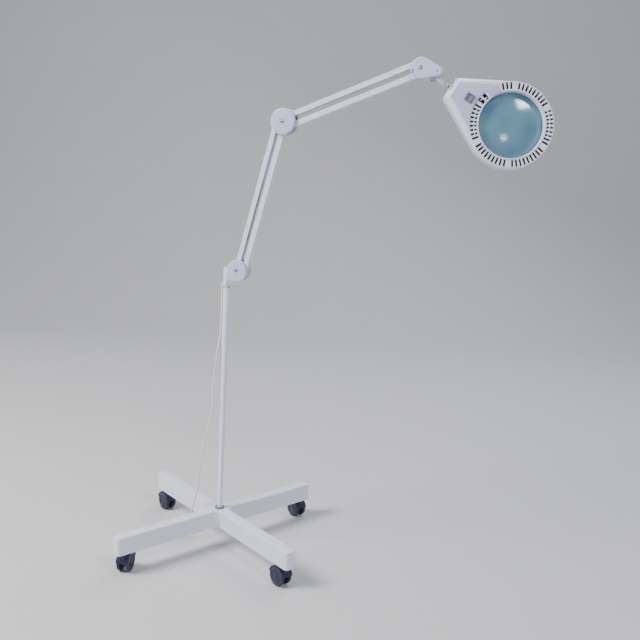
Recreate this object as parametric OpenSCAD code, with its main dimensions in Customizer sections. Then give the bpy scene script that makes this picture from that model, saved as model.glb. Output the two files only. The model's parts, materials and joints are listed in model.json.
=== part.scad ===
// Magnifying lamp on a rolling stand.
// Origin on the floor under the pole, +Z up. The arms lie in the XZ plane and their pivots run along Y.

/* [Stand] */
// Distance from the pole to the end of each leg
leg_reach = 262; // [240:2:290]
// Width of a leg
leg_w = 25; // [24:1:30]
// Height of a leg
leg_h = 40; // [36:1:44]
// Underside of the legs above the floor
leg_z = 46; // [46:1:52]
// Turn of the cross of legs about the pole
leg_turn = 60; // [50:1:70]
// Distance from the pole to each caster's stem
caster_reach = 242; // [225:1:248]
// Diameter of the caster wheels
wheel_d = 42; // [40:1:42]
// Distance of a wheel's axle behind its stem
trail = 12; // [11:1:13]
// Diameter of the lower pole
lower_pole_d = 12.5; // [12:0.5:13]
// Diameter of the upper pole
upper_pole_d = 15; // [15:0.5:16]
// Height of the top of the upper pole
pole_top_z = 600; // [560:5:660]

/* [Arms] */
// Height of the shoulder's centre screw above the floor
shoulder_z = 639; // [600:1:700]
// Distance from the pole to the shoulder's centre screw
shoulder_x = 27; // [27:1:30]
// Length of the lower bars between pivots
lower_len = 320.5; // [280:0.5:360]
// Length of the upper bars between pivots
upper_len = 282; // [250:1:330]
// Rest angle of the lower arm above level
lower_angle = 76; // [70:0.1:85]
// Rest angle of the upper arm above level
upper_angle = 22.4; // [0:0.1:40]
// Width of a bar
bar_w = 10; // [9:0.5:10]
// Depth of a bar along the pivots
bar_depth = 13; // [12:0.5:13]
// Radius of the shoulder covers
shoulder_r = 23.5; // [23:0.5:25]
// Radius of the elbow covers
elbow_r = 27; // [26:0.5:29]
// Radius of the round part of the tip covers
tip_r = 20.5; // [20:0.5:22]

/* [Head] */
// Turn of the head about the upright pan bolt
head_pan = 15; // [0:1:30]
// Droop of the neck below level
head_droop = 28; // [20:1:40]
// Roll of the head about its neck, 0 with the lens level
head_roll = 82; // [60:1:90]
// Outer radius of the round part of the head
head_r = 84; // [83:1:88]
// Distance from the lens centre to the neck's end
neck_len = 138; // [134:1:142]
// Width of the neck's end
neck_w = 52; // [48:1:60]
// Diameter of the lens
lens_d = 127; // [124:1:127]
// Radius of each face of the lens
lens_face_r = 208; // [180:1:350]
// Depth of the lower shell
lower_shell_h = 20; // [19:1:24]
// Height of the upper cover
upper_cover_h = 14; // [14:0.5:16]

/* [Hidden] */
$fn = 64;

powder_white = [0.86, 0.87, 0.93];
plastic_lilac = [0.78, 0.79, 0.9];
caster_navy = [0.12, 0.13, 0.22];
steel = [0.66, 0.67, 0.7];
dark_grey = [0.3, 0.3, 0.36];
board_green = [0.2, 0.42, 0.3];

sheet = 2;
run_gap = 0.06;
press_gap = 0.02;
seat_gap = 0.1;
// Straight sides run this far inside a tangent, so that they cross the circles cleanly
tangent_lap = 0.05;

// Stand
leg_top = leg_z + leg_h;
fillet_r = 14;
end_r = 8;
plate_top = leg_z + sheet;
hub_r = 14;
wheel_r = wheel_d / 2;
stem_r = 4;
stem_low = 27;
hood_top = leg_z - 2;
web_half = 6;
wheel_w = 7;
hood_half = 14;
canopy_r = wheel_r + 0.7;
axle_r = 3;
thread_r = 4;

// Casters in order: front left, front right, rear right, rear left
caster_angles = [leg_turn + 180, leg_turn - 90, leg_turn, leg_turn + 90];
// Direction from each stem to its wheels
caster_yaws = [100, 150, 148, 328];

// Shoulder, elbow and tip: offsets of the pivots from each centre screw, as [x, z]
shoulder_main = [-3.4, 3.4];
lower_link = [14.8, -14.8];
elbow_low_main = [-16.3, -0.9];
elbow_up_main = [8.1, 11.6];
upper_link = [3.6, -20.2];
tip_main = [-8.6, 10.1];
shoulder_second = shoulder_main + lower_link;
elbow_low_second = elbow_low_main + lower_link;
elbow_up_second = elbow_up_main + upper_link;
tip_second = tip_main + upper_link;

function along(length, angle) = length * [cos(angle), sin(angle)];
shoulder_c = [shoulder_x, shoulder_z];
lower_root = shoulder_c + shoulder_main;
lower_second_root = shoulder_c + shoulder_second;
elbow_c = lower_root + along(lower_len, lower_angle) - elbow_low_main;
upper_root = elbow_c + elbow_up_main;
upper_second_root = elbow_c + elbow_up_second;
tip_c = upper_root + along(upper_len, upper_angle) - tip_main;

bar_half = bar_depth / 2;
bar_sheet = 1.2;
pin_r = 2.5;
cheek_in = bar_half + 0.3;
cheek_t = 2;
cheek_out = cheek_in + cheek_t;
cover_h = 14.5;
cover_wall = 2;
cover_edge = 3.5;
split_gap = 0.05;
screw_r = 1.7;
screw_head_r = 3;
screw_recess_r = 4;
screw_recess = 3;
barrel_r = 8.5;
barrel_top = shoulder_z + 4;
barrel_edge = 3;
shoulder_flat = 21.6;
shoulder_low = shoulder_r - 0.5;
shoulder_square = 9;
post_r = 5;
post_len = 65;
bush_flange = 1.5;
spring_r = 3.75;
wire_r = 1.8;

// Neck: the pan bolt stands in the tip bracket's nose and the yoke hangs under it
nose_reach = 22.6;
nose_tip = [32.5, -5];
nose_r = 9.5;
pan_r = 3;
nose_block_low = -12.4;
nose_block_h = 9;
yoke_t = 1.5;
yoke_top = -18.4;
yoke_half = 5.7;
yoke_reach = 22;
tilt_drop = 28;
tilt_r = 2;
barrel_half = yoke_half - yoke_t - run_gap;
stub_r = 5;
joint_reach = 149;

// Head, in its own frame: origin at the lens centre, +X towards the neck, +Z out of the switch side
skin = 2.2;
corner_r = 10;
lens_r = lens_d / 2;
lens_edge = 3;
lens_mid = -2;
clear_r = 62.4;
tube_in = lens_r + 0.3;
tube_out = tube_in + 2;
slot_in = 67.5;
slot_out = 79;
slot_w = 3.6;
slot_step = 6;
slot_gaps = [55.5, 115.5, 175.5, 235.5, 295.5, 355.5];
tab_angle = -29.5;
tab_half = 12;
diffuser_t = 2.6;
board_stand = 3;
led_r = 73;
led_count = 30;
window_in = 66.5;
window_out = 79.5;
board_z = -10;
switch_x = 95;
switch_side = 17;
switch_hole = 14;
boss_r = 4.5;
boss_places = [[118, 17], [118, -17], [73, 48], [73, -48]];
bush_r = 8;
neck_wall_x = neck_len - skin;

// ---------------------------------------------------------------- helpers

// A round bar along Y, centred on y = 0
module cross_bar(r, half) {
    rotate([90, 0, 0])
        cylinder(r = r, h = 2 * half, center = true);
}

// Puts a drawing of the XZ plane upright, from y = a to y = b
module upright(a, b) {
    translate([0, b, 0])
        rotate([90, 0, 0])
            linear_extrude(b - a)
                children();
}

// Moves to a point given as [x, z]
module at_xz(p) {
    translate([p[0], 0, p[1]])
        children();
}

// Moves into the frame of an arm: +X along the bars, +Z out of the upper side
module in_arm(root, angle) {
    at_xz(root)
        rotate([0, -angle, 0])
            children();
}

// The same on the rear side (+Y) of the arm plane
module rear_side() {
    mirror([0, 1, 0])
        children();
}

module round_capped(length, r) {
    circle(r = r);
    translate([length, 0])
        circle(r = r);
    translate([0, -r])
        square([length, 2 * r]);
}

// ---------------------------------------------------------------- stand

module leg_outline(half, reach, corner) {
    square([2 * (reach - corner), 2 * half], center = true);
    square([2 * reach, 2 * (half - corner)], center = true);
    for (sx = [-1, 1], sy = [-1, 1])
        translate([sx * (reach - corner), sy * (half - corner)])
            circle(r = corner);
}

module inner_fillet(half, r) {
    difference() {
        translate([half - 1, half - 1])
            square(r + 1);
        translate([half + r, half + r])
            circle(r = r);
    }
}

// Plan of the cross of legs, drawn smaller by inset
module cross_outline(inset) {
    half = leg_w / 2 - inset;
    leg_outline(half, leg_reach - inset, end_r - inset);
    rotate(90)
        leg_outline(half, leg_reach - inset, end_r - inset);
    for (k = [0:3])
        rotate(90 * k)
            inner_fillet(half, fillet_r + inset);
}

module at_stems() {
    for (a = caster_angles)
        rotate([0, 0, a])
            translate([caster_reach, 0, 0])
                children();
}

module base_shell() {
    color(powder_white)
        rotate([0, 0, leg_turn])
            difference() {
                translate([0, 0, leg_z])
                    linear_extrude(leg_h)
                        cross_outline(0);
                translate([0, 0, leg_z - 1])
                    linear_extrude(leg_h - sheet + 1)
                        cross_outline(sheet);
                translate([0, 0, leg_z])
                    cylinder(r = hub_r - 6, h = leg_h + 1);
            }
}

module base_plate() {
    color(powder_white)
        difference() {
            translate([0, 0, leg_z])
                rotate([0, 0, leg_turn])
                    linear_extrude(sheet)
                        cross_outline(sheet + seat_gap);
            at_stems()
                translate([0, 0, leg_z - 1])
                    cylinder(r = stem_r + press_gap, h = sheet + 2);
            translate([0, 0, leg_z - 1])
                cylinder(r = thread_r + press_gap, h = sheet + 2);
        }
}

module leg_weights() {
    weight_w = leg_w - 2 * sheet - 2;
    weight_h = leg_h - 2 * sheet - 4;
    weight_from = 40;
    weight_to = caster_reach - 16;
    color(dark_grey)
        for (a = caster_angles)
            rotate([0, 0, a])
                translate([weight_from, -weight_w / 2, plate_top + seat_gap])
                    cube([weight_to - weight_from, weight_w, weight_h]);
}

module hub_block() {
    color(steel)
        difference() {
            translate([0, 0, plate_top + seat_gap])
                cylinder(r = hub_r, h = leg_h - 2 * sheet - 2 * seat_gap);
            translate([0, 0, leg_z])
                cylinder(r = lower_pole_d / 2 + press_gap, h = leg_h);
        }
}

module pole_collar() {
    collar_h = 3.5;
    color(dark_grey)
        difference() {
            union() {
                translate([0, 0, leg_top])
                    cylinder(r = 11, h = collar_h);
                translate([0, 0, leg_top - sheet + seat_gap])
                    cylinder(r = hub_r - 6 - seat_gap, h = sheet);
            }
            translate([0, 0, leg_z])
                cylinder(r = lower_pole_d / 2 + press_gap, h = leg_h + 10);
        }
}

module pole_bolt() {
    bolt_head_h = 5;
    color(steel) {
        translate([0, 0, leg_z - bolt_head_h])
            cylinder(r = 7, h = bolt_head_h, $fn = 6);
        translate([0, 0, leg_z - 1])
            cylinder(r = thread_r, h = 26);
    }
}

module lower_pole() {
    pole_low = plate_top + 4;
    plug_h = 24;
    pole_high = pole_top_z - 80;
    color(powder_white)
        difference() {
            translate([0, 0, pole_low])
                cylinder(r = lower_pole_d / 2, h = pole_high - pole_low);
            translate([0, 0, pole_low - 1])
                cylinder(r = thread_r + press_gap, h = plug_h + 1);
            translate([0, 0, pole_low + plug_h])
                cylinder(r = lower_pole_d / 2 - 1.5, h = pole_high);
        }
}

module upper_pole() {
    overlap = 50;
    pole_low = pole_top_z - 80 - overlap;
    color(powder_white)
        difference() {
            translate([0, 0, pole_low])
                cylinder(r = upper_pole_d / 2, h = pole_top_z - pole_low);
            translate([0, 0, pole_low - 1])
                cylinder(r = lower_pole_d / 2 + press_gap, h = pole_top_z);
        }
}

module swivel_bush() {
    sleeve_r = lower_pole_d / 2 - press_gap;
    color(dark_grey)
        difference() {
            union() {
                translate([0, 0, pole_top_z - post_len])
                    cylinder(r = sleeve_r, h = post_len + 1);
                translate([0, 0, pole_top_z + press_gap])
                    cylinder(r = upper_pole_d / 2, h = bush_flange);
            }
            translate([0, 0, pole_top_z - post_len - 1])
                cylinder(r = post_r + run_gap, h = post_len + 10);
        }
}

module caster_stems() {
    nut_h = 5;
    flange_h = 1.5;
    color(steel)
        at_stems() {
            translate([0, 0, stem_low])
                cylinder(r = stem_r, h = plate_top + nut_h + 2 - stem_low);
            translate([0, 0, plate_top + seat_gap])
                cylinder(r = 7, h = nut_h, $fn = 6);
            translate([0, 0, leg_z - flange_h - seat_gap])
                cylinder(r = 8, h = flange_h);
        }
}

// The cable hangs in the upright plane halfway between the two left legs
cable_turn = leg_turn + 135;
cable_r = 2.5;
cable_points = [
    [upper_pole_d / 2 + cable_r + 0.3, pole_top_z - 14],
    [upper_pole_d / 2 + cable_r + 0.3, pole_top_z - 60],
    [72, 70], [82, 26], [98, 8], [122, 5], [146, 9]
];
plug_from = 146.4;
plug_z = 9;

module cable_run(p, q) {
    step = q - p;
    translate([p[0], 0, p[1]])
        rotate([0, 90 - atan2(step[1], step[0]), 0])
            cylinder(r = cable_r, h = norm(step));
}

module power_cable() {
    last = len(cable_points) - 1;
    color(powder_white)
        rotate([0, 0, cable_turn]) {
            for (k = [0 : last - 1])
                cable_run(cable_points[k], cable_points[k + 1]);
            for (k = [1 : last - 1])
                at_xz(cable_points[k])
                    sphere(r = cable_r + 0.2);
        }
}

module plug_body() {
    color(powder_white)
        rotate([0, 0, cable_turn])
            translate([plug_from + seat_gap, 0, plug_z])
                rotate([0, 90, 0]) {
                    cylinder(r = 4, h = 9);
                    translate([0, 0, 8])
                        linear_extrude(28)
                            for (s = [-1, 1]) {
                                translate([0, s * 9])
                                    circle(r = 6.5);
                                square([13, 18], center = true);
                            }
                }
}

module plug_pins() {
    color(steel)
        rotate([0, 0, cable_turn])
            for (s = [-1, 1])
                translate([plug_from + seat_gap + 36, s * 9.3, plug_z])
                    rotate([0, 90, 0])
                        cylinder(r = 2, h = 19);
}

// ---------------------------------------------------------------- casters

module at_caster(k) {
    rotate([0, 0, caster_angles[k]])
        translate([caster_reach, 0, 0])
            rotate([0, 0, caster_yaws[k] - caster_angles[k]])
                children();
}

module caster_hood() {
    color(caster_navy)
        difference() {
            union() {
                intersection() {
                    translate([trail, 0, wheel_r])
                        cross_bar(canopy_r + 1.6, hood_half);
                    translate([trail - 40, -hood_half, wheel_r + 4])
                        cube([80, 2 * hood_half, hood_top - wheel_r - 4]);
                }
                translate([trail, 0, wheel_r])
                    cross_bar(12, web_half);
                translate([-8, -web_half, wheel_r])
                    cube([trail + 16, 2 * web_half, hood_top - wheel_r]);
            }
            for (s = [-1, 1])
                translate([trail, s * (web_half + 10), wheel_r])
                    cross_bar(canopy_r, 10);
            translate([trail, 0, wheel_r])
                cross_bar(axle_r + run_gap, hood_half + 1);
            translate([0, 0, stem_low - 1])
                cylinder(r = stem_r + run_gap, h = 40);
        }
}

module caster_wheels() {
    first = web_half + 0.3;
    dish_r = 14;
    color(caster_navy)
        translate([trail, 0, wheel_r]) {
            cross_bar(axle_r, first + 1);
            for (s = [-1, 1])
                scale([1, s, 1])
                    difference() {
                        rotate([-90, 0, 0])
                            translate([0, 0, first])
                                cylinder(r = wheel_r, h = wheel_w);
                        rotate([-90, 0, 0])
                            translate([0, 0, first + wheel_w - 1.5])
                                cylinder(r = dish_r, h = 2);
                    }
        }
}

// ---------------------------------------------------------------- covers and arms

// Round plate on the front side (-Y), from low to high
module disc(r, low, high) {
    rotate([90, 0, 0])
        translate([0, 0, low])
            cylinder(r = r, h = high - low);
}

// The same with its outer edge rounded
module dome(r, low, high, edge) {
    rotate([90, 0, 0])
        translate([0, 0, low])
            rotate_extrude() {
                square([r - edge, high - low]);
                square([r, high - low - edge]);
                translate([r - edge, high - low - edge])
                    circle(r = edge);
            }
}

// Wall that closes the side of a joint between two angles, from the middle plane to the cover
module side_wall(r, from_angle, to_angle) {
    rotate([90, 0, 0])
        rotate([0, 0, from_angle])
            rotate_extrude(angle = to_angle - from_angle)
                translate([r - cover_wall + 0.1, split_gap])
                    square([cover_wall - 0.2, cheek_out]);
}

// Round cover of one side of a joint, with a recess and a hole for its centre screw
module round_cover(r, walls) {
    difference() {
        dome(r, cheek_in + 0.1, cover_h, cover_edge);
        disc(r - cover_wall, cheek_in - 1, cheek_out + 0.1);
        disc(r - cover_wall - cover_edge, cheek_out - 1, cover_h - cover_wall);
        disc(screw_recess_r, cover_h - screw_recess, cover_h + 1);
    }
    difference() {
        screw_boss();
        screw_well();
    }
    for (w = walls)
        side_wall(r, w[0], w[1]);
}

// Open-backed cover of one side of a joint: children are its outline and its hollow
module cover_shell() {
    difference() {
        upright(-cover_h, -cheek_in - 0.1)
            children(0);
        upright(-cover_h + cover_wall, -cheek_in + 1)
            children(1);
    }
}

// Wall that closes the side of a joint between two angles, from the cover to the middle plane:
// children are the cover's outline and its hollow
module closing_wall(from_angle, to_angle) {
    intersection() {
        difference() {
            upright(-cheek_out, -split_gap)
                children(0);
            upright(-cheek_out - 1, 1)
                children(1);
        }
        rotate([90, 0, 0])
            rotate([0, 0, from_angle])
                rotate_extrude(angle = to_angle - from_angle)
                    translate([2, -1])
                        square([60, cheek_out + 2]);
    }
}

module screw_boss() {
    disc(screw_recess_r + 1.5, cheek_out + 0.2, cover_h - 1);
}

module screw_well() {
    disc(screw_recess_r, cover_h - screw_recess, cover_h + 1);
    disc(screw_r + press_gap, cheek_out - 1, cover_h);
}

// Screw through the middle of a cover into the cheek behind it
module cover_screw() {
    rotate([90, 0, 0]) {
        translate([0, 0, cheek_in + 0.3])
            cylinder(r = screw_r, h = cover_h - screw_recess - cheek_in);
        translate([0, 0, cover_h - screw_recess + 0.1])
            cylinder(r = screw_head_r, h = 1.6);
    }
}

module both_sides() {
    children();
    rear_side()
        children();
}

module pivot_pins(places) {
    color(steel)
        for (p = places)
            at_xz(p)
                cross_bar(pin_r, cheek_out);
}

// Sheet channel between two pivots. side is +1 when its closed back faces +Z.
module channel_bar(length, side) {
    r = bar_w / 2;
    difference() {
        upright(-bar_half, bar_half)
            round_capped(length, r);
        scale([1, 1, side])
            translate([-r - 1, -bar_half + bar_sheet, -r - 1])
                cube([length + 2 * r + 2, bar_depth - 2 * bar_sheet, bar_w + 1 - bar_sheet]);
        for (x = [0, length])
            translate([x, 0, 0])
                cross_bar(pin_r + run_gap, bar_half + 1);
    }
}

// Closed coil spring with an open eye at each end, along +X
module balance_spring(length) {
    eye_r = 2.4;
    hook_r = 0.7;
    color(steel) {
        rotate([0, 90, 0])
            difference() {
                cylinder(r = spring_r, h = length);
                translate([0, 0, -1])
                    cylinder(r = spring_r - 1.2, h = length + 2);
            }
        for (x = [-eye_r, length + eye_r])
            translate([x, 0, 0])
                rotate([90, 0, 0])
                    rotate_extrude()
                        translate([eye_r, 0])
                            circle(r = hook_r, $fn = 24);
    }
}

module inner_wire(length) {
    color(dark_grey)
        rotate([0, 90, 0])
            cylinder(r = wire_r, h = length);
}

// ---------------------------------------------------------------- shoulder

// Barrel over the pole with a rounded top edge
module swivel_barrel() {
    rotate([-90, 0, 0])
        dome(barrel_r, pole_top_z + bush_flange + 0.2, barrel_top, barrel_edge);
}

// Web in the corner between the barrel and the covers
module barrel_gusset() {
    gusset_r = 12;
    gusset_half = 4;
    translate([0, 0, shoulder_z - shoulder_low - seat_gap - gusset_r])
        upright(-gusset_half, gusset_half)
            difference() {
                translate([barrel_r - 2, 0])
                    square([gusset_r + 2, gusset_r]);
                translate([barrel_r + gusset_r, 0])
                    circle(r = gusset_r);
            }
}

module pole_bracket() {
    color(powder_white)
        difference() {
            union() {
                swivel_barrel();
                barrel_gusset();
                translate([0, 0, pole_top_z - post_len + 1])
                    cylinder(r = post_r, h = post_len + 5);
                for (s = [-1, 1])
                    translate([0, s * (cheek_in + cheek_t / 2), 0])
                        upright(-cheek_t / 2, cheek_t / 2)
                            shoulder_cheek_outline();
                translate([0, -cheek_in - 0.5, shoulder_z - 14])
                    cube([13, 2 * cheek_in + 1, 16]);
            }
            for (p = [lower_root, lower_second_root])
                at_xz(p)
                    cross_bar(pin_r + press_gap, 12);
            at_xz(shoulder_c)
                cross_bar(screw_r + press_gap, 12);
        }
}

module shoulder_cheek_outline() {
    translate(shoulder_c)
        shoulder_outline(cover_wall + 1);
    translate([0, shoulder_z - 14])
        square([shoulder_x, 16]);
}

module shoulder_pins() {
    pivot_pins([lower_root, lower_second_root]);
}

// Side view of the shoulder covers, centred on the screw and drawn smaller by inset:
// round on the arm's side, flat and square-cornered next to the barrel
module shoulder_outline(inset) {
    left = shoulder_flat - inset;
    low = shoulder_low - inset;
    intersection() {
        union() {
            circle(r = shoulder_r - inset);
            translate([-left, -low])
                square([left, low + shoulder_square]);
        }
        translate([-left, -shoulder_r])
            square(2 * shoulder_r);
    }
}

module shoulder_front_cover() {
    color(plastic_lilac)
        at_xz(shoulder_c)
            difference() {
                union() {
                    cover_shell() {
                        shoulder_outline(0);
                        shoulder_outline(cover_wall);
                    }
                    closing_wall(128, 300) {
                        shoulder_outline(0);
                        shoulder_outline(cover_wall);
                    }
                    screw_boss();
                }
                screw_well();
                translate([-shoulder_flat - 1, -cheek_out - seat_gap, -shoulder_r])
                    cube([5, 2 * cheek_out, shoulder_r + barrel_top + 0.3 - shoulder_z]);
            }
}

module shoulder_rear_cover() {
    rear_side()
        shoulder_front_cover();
}

module shoulder_screws() {
    color(steel)
        at_xz(shoulder_c)
            both_sides()
                cover_screw();
}

// ---------------------------------------------------------------- lower arm

module lower_main_bar() {
    color(powder_white)
        in_arm(lower_root, lower_angle)
            channel_bar(lower_len, 1);
}

module lower_second_bar() {
    color(powder_white)
        in_arm(lower_second_root, lower_angle)
            channel_bar(lower_len, -1);
}

module lower_spring() {
    in_arm(lower_root, lower_angle)
        translate([60, 0, -0.4])
            balance_spring(130);
}

module lower_wire() {
    in_arm(lower_second_root, lower_angle)
        translate([26, 0, -1.2])
            inner_wire(lower_len - 52);
}

// ---------------------------------------------------------------- elbow

module elbow_plates() {
    color(steel)
        at_xz(elbow_c)
            both_sides()
                difference() {
                    upright(-cheek_out, -cheek_in)
                        circle(r = elbow_r - cover_wall - 1.2);
                    for (p = [elbow_low_main, elbow_low_second, elbow_up_main, elbow_up_second])
                        at_xz(p)
                            cross_bar(pin_r + press_gap, 12);
                    cross_bar(screw_r + press_gap, 12);
                }
}

module elbow_pins() {
    at_xz(elbow_c)
        pivot_pins([elbow_low_main, elbow_low_second, elbow_up_main, elbow_up_second]);
}

module elbow_front_cover() {
    color(plastic_lilac)
        at_xz(elbow_c)
            round_cover(elbow_r, [[80, 164]]);
}

module elbow_rear_cover() {
    rear_side()
        elbow_front_cover();
}

module elbow_screws() {
    color(steel)
        at_xz(elbow_c)
            both_sides()
                cover_screw();
}

// ---------------------------------------------------------------- upper arm

module upper_main_bar() {
    color(powder_white)
        in_arm(upper_root, upper_angle)
            channel_bar(upper_len, 1);
}

module upper_second_bar() {
    color(powder_white)
        in_arm(upper_second_root, upper_angle)
            channel_bar(upper_len, -1);
}

module upper_spring() {
    in_arm(upper_root, upper_angle)
        translate([60, 0, -0.4])
            balance_spring(120);
}

module upper_wire() {
    in_arm(upper_second_root, upper_angle)
        translate([26, 0, -1.2])
            inner_wire(upper_len - 52);
}

// ---------------------------------------------------------------- tip

// Side view of the tip covers, centred on the screw and drawn smaller by inset:
// a large circle and the nose circle, joined along their two common tangents
function tangent_angle(c, r0, r1, side) = atan2(c[1], c[0]) + side * acos((r0 - r1) / norm(c));

module tip_outline(inset) {
    r0 = tip_r - inset;
    r1 = nose_r - inset;
    upper = tangent_angle(nose_tip, r0, r1, 1);
    lower = tangent_angle(nose_tip, r0, r1, -1);
    circle(r = r0);
    translate(nose_tip)
        circle(r = r1);
    polygon([
        along(r0 - tangent_lap, upper),
        nose_tip + along(r1 - tangent_lap, upper),
        nose_tip + along(r1 - tangent_lap, lower),
        along(r0 - tangent_lap, lower)
    ]);
}

module tip_bracket() {
    block_from = 15;
    block_to = 30;
    color(steel)
        at_xz(tip_c)
            difference() {
                union() {
                    both_sides()
                        upright(-cheek_out, -cheek_in)
                            tip_outline(cover_wall + 1);
                    translate([block_from, -cheek_in - 0.5, nose_block_low])
                        cube([block_to - block_from, 2 * cheek_in + 1, nose_block_h]);
                }
                for (p = [tip_main, tip_second])
                    at_xz(p)
                        cross_bar(pin_r + press_gap, 12);
                cross_bar(screw_r + press_gap, 12);
                translate([nose_reach, 0, -20])
                    cylinder(r = pan_r + press_gap, h = 40);
            }
}

module tip_pins() {
    at_xz(tip_c)
        pivot_pins([tip_main, tip_second]);
}

// Closed on the nose side and open on the arm's side
module tip_front_cover() {
    nose_hole_r = 1.6;
    slit = [2.4, 4, 9];
    slit_place = [-16, -cover_h - 1, -10.5];
    color(plastic_lilac)
        at_xz(tip_c)
            difference() {
                union() {
                    cover_shell() {
                        tip_outline(0);
                        tip_outline(cover_wall);
                    }
                    closing_wall(-86, 106) {
                        tip_outline(0);
                        tip_outline(cover_wall);
                    }
                    screw_boss();
                }
                screw_well();
                at_xz(nose_tip)
                    disc(nose_hole_r, cover_h - cover_wall - 1, cover_h + 1);
                translate(slit_place)
                    cube(slit);
                translate([nose_reach, 0, -30])
                    cylinder(r = pan_r + 1, h = 30);
            }
}

module tip_rear_cover() {
    rear_side()
        tip_front_cover();
}

module tip_screws() {
    color(steel)
        at_xz(tip_c)
            both_sides()
                cover_screw();
}

module at_pan() {
    translate([tip_c[0] + nose_reach, 0, tip_c[1]])
        children();
}

// Bolt through the nose block, a spacer between the block and the yoke, and a nut under the yoke
module pan_bolt() {
    nut_h = 3.5;
    spacer_r = 3.8;
    block_top = nose_block_low + nose_block_h;
    yoke_low = yoke_top - yoke_t;
    color(steel)
        at_pan() {
            translate([0, 0, yoke_low - nut_h - 1])
                cylinder(r = pan_r, h = block_top + 2 - yoke_low + nut_h);
            translate([0, 0, block_top + 0.1])
                cylinder(r = 4.6, h = 2.5, $fn = 6);
            translate([0, 0, yoke_top + 0.1])
                cylinder(r = spacer_r, h = nose_block_low - yoke_top - 0.2);
            translate([0, 0, yoke_low - nut_h - 0.1])
                cylinder(r = 5.5, h = nut_h, $fn = 6);
        }
}

// ---------------------------------------------------------------- neck

module in_yoke() {
    at_pan()
        rotate([0, 0, head_pan])
            children();
}

// Sheet yoke: a flat web on the pan bolt and two cheeks that slope down to the tilt screw
module yoke() {
    web_r = 7;
    slope_from = 6;
    cheek_w = 5;
    tilt = [yoke_reach, -tilt_drop];
    color(powder_white)
        in_yoke()
            difference() {
                union() {
                    translate([0, 0, yoke_top - yoke_t])
                        cylinder(r = web_r, h = yoke_t);
                    translate([0, -yoke_half, yoke_top - yoke_t])
                        cube([slope_from + 8, 2 * yoke_half, yoke_t]);
                    both_sides()
                        upright(-yoke_half, -yoke_half + yoke_t) {
                            polygon([
                                [slope_from - 2, yoke_top],
                                [slope_from + 8, yoke_top],
                                tilt + [cheek_w, 2],
                                tilt + [-cheek_w, -1]
                            ]);
                            translate(tilt)
                                circle(r = cheek_w);
                        }
                }
                translate([0, 0, yoke_top - 10])
                    cylinder(r = pan_r + run_gap, h = 20);
                at_xz(tilt)
                    cross_bar(tilt_r + press_gap, 12);
            }
}

module at_tilt() {
    in_yoke()
        at_xz([yoke_reach, -tilt_drop])
            children();
}

module tilt_screw() {
    color(steel)
        at_tilt() {
            cross_bar(tilt_r, yoke_half + 2.2);
            rotate([90, 0, 0])
                translate([0, 0, yoke_half + 0.1])
                    cylinder(r = 4, h = 2.2);
            rotate([-90, 0, 0])
                translate([0, 0, yoke_half + 0.1])
                    cylinder(r = 3.8, h = 2.6, $fn = 6);
        }
}

module along_neck() {
    at_tilt()
        rotate([0, head_droop, 0])
            children();
}

// Barrel on the tilt screw with a shaft that the head turns on, and a collar that keeps the head on
module neck_joint() {
    collar_from = joint_reach - neck_wall_x + 5;
    color(steel)
        along_neck()
            difference() {
                union() {
                    cross_bar(5, barrel_half);
                    rotate([0, 90, 0])
                        cylinder(r = stub_r - 1.5, h = 8);
                    translate([7, 0, 0])
                        rotate([0, 90, 0])
                            cylinder(r = stub_r, h = collar_from - 5);
                    translate([collar_from, 0, 0])
                        rotate([0, 90, 0])
                            cylinder(r = bush_r - 0.5, h = 3);
                }
                cross_bar(tilt_r + run_gap, 12);
            }
}

// ---------------------------------------------------------------- head

module in_head() {
    along_neck()
        rotate([head_roll, 0, 0])
            rotate([0, 0, 180])
                translate([-joint_reach, 0, 0])
                    children();
}

// Plan of the head, drawn smaller by inset: a large circle joined to the two corners of the neck's end.
module head_outline(inset) {
    corner = [neck_len - corner_r, neck_w / 2 - corner_r];
    r0 = head_r - inset;
    r1 = corner_r - inset;
    a = tangent_angle(corner, r0, r1, 1);
    side = corner + along(r1 - tangent_lap, a);
    end_x = corner[0] + r1 - tangent_lap;
    circle(r = r0, $fn = 128);
    polygon([
        along(r0 - tangent_lap, a),
        side,
        [end_x, corner[1]],
        [end_x, -corner[1]],
        [side[0], -side[1]],
        along(r0 - tangent_lap, -a)
    ]);
    for (s = [-1, 1])
        translate([corner[0], s * corner[1]])
            circle(r = r1);
}

module ring(r_in, r_out, low, high) {
    translate([0, 0, low])
        linear_extrude(high - low)
            difference() {
                circle(r = r_out, $fn = 128);
                circle(r = r_in, $fn = 128);
            }
}

// Hole for the bush through the end wall, with room for its flange and the collar behind it
module neck_hole() {
    room = 12;
    rotate([0, 90, 0]) {
        translate([0, 0, neck_wall_x - 3])
            cylinder(r = bush_r + press_gap, h = 20);
        translate([0, 0, neck_wall_x - room])
            cylinder(r = bush_r + 1.8, h = room - 0.1);
    }
}

// Rib from the lens tube to the shell. Its foot passes outside the diffuser and carries the LED board.
module shell_rib() {
    rib_w = 4;
    low = -lower_shell_h;
    rib_low = low + diffuser_t + 0.2;
    seat = board_z - seat_gap;
    foot_in = window_out - 3;
    foot_out = window_out + 3.5;
    rotate([90, 0, 0])
        linear_extrude(rib_w, center = true)
            polygon([
                [tube_out - 0.5, rib_low],
                [window_out + 0.1, rib_low],
                [window_out + 0.1, low + 1.2],
                [foot_out, low + 1.2],
                [foot_out, seat],
                [foot_in, seat],
                [foot_in, rib_low + 4],
                [tube_out - 0.5, rib_low + 4]
            ]);
}

// Post under a cover screw, with a counterbore from below
module shell_post() {
    difference() {
        cylinder(r = boss_r, h = lower_shell_h - 0.2);
        translate([0, 0, -1])
            cylinder(r = screw_head_r + 0.2, h = skin + 1);
        translate([0, 0, -1])
            cylinder(r = screw_r + 0.1, h = lower_shell_h + 2);
    }
}

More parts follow.
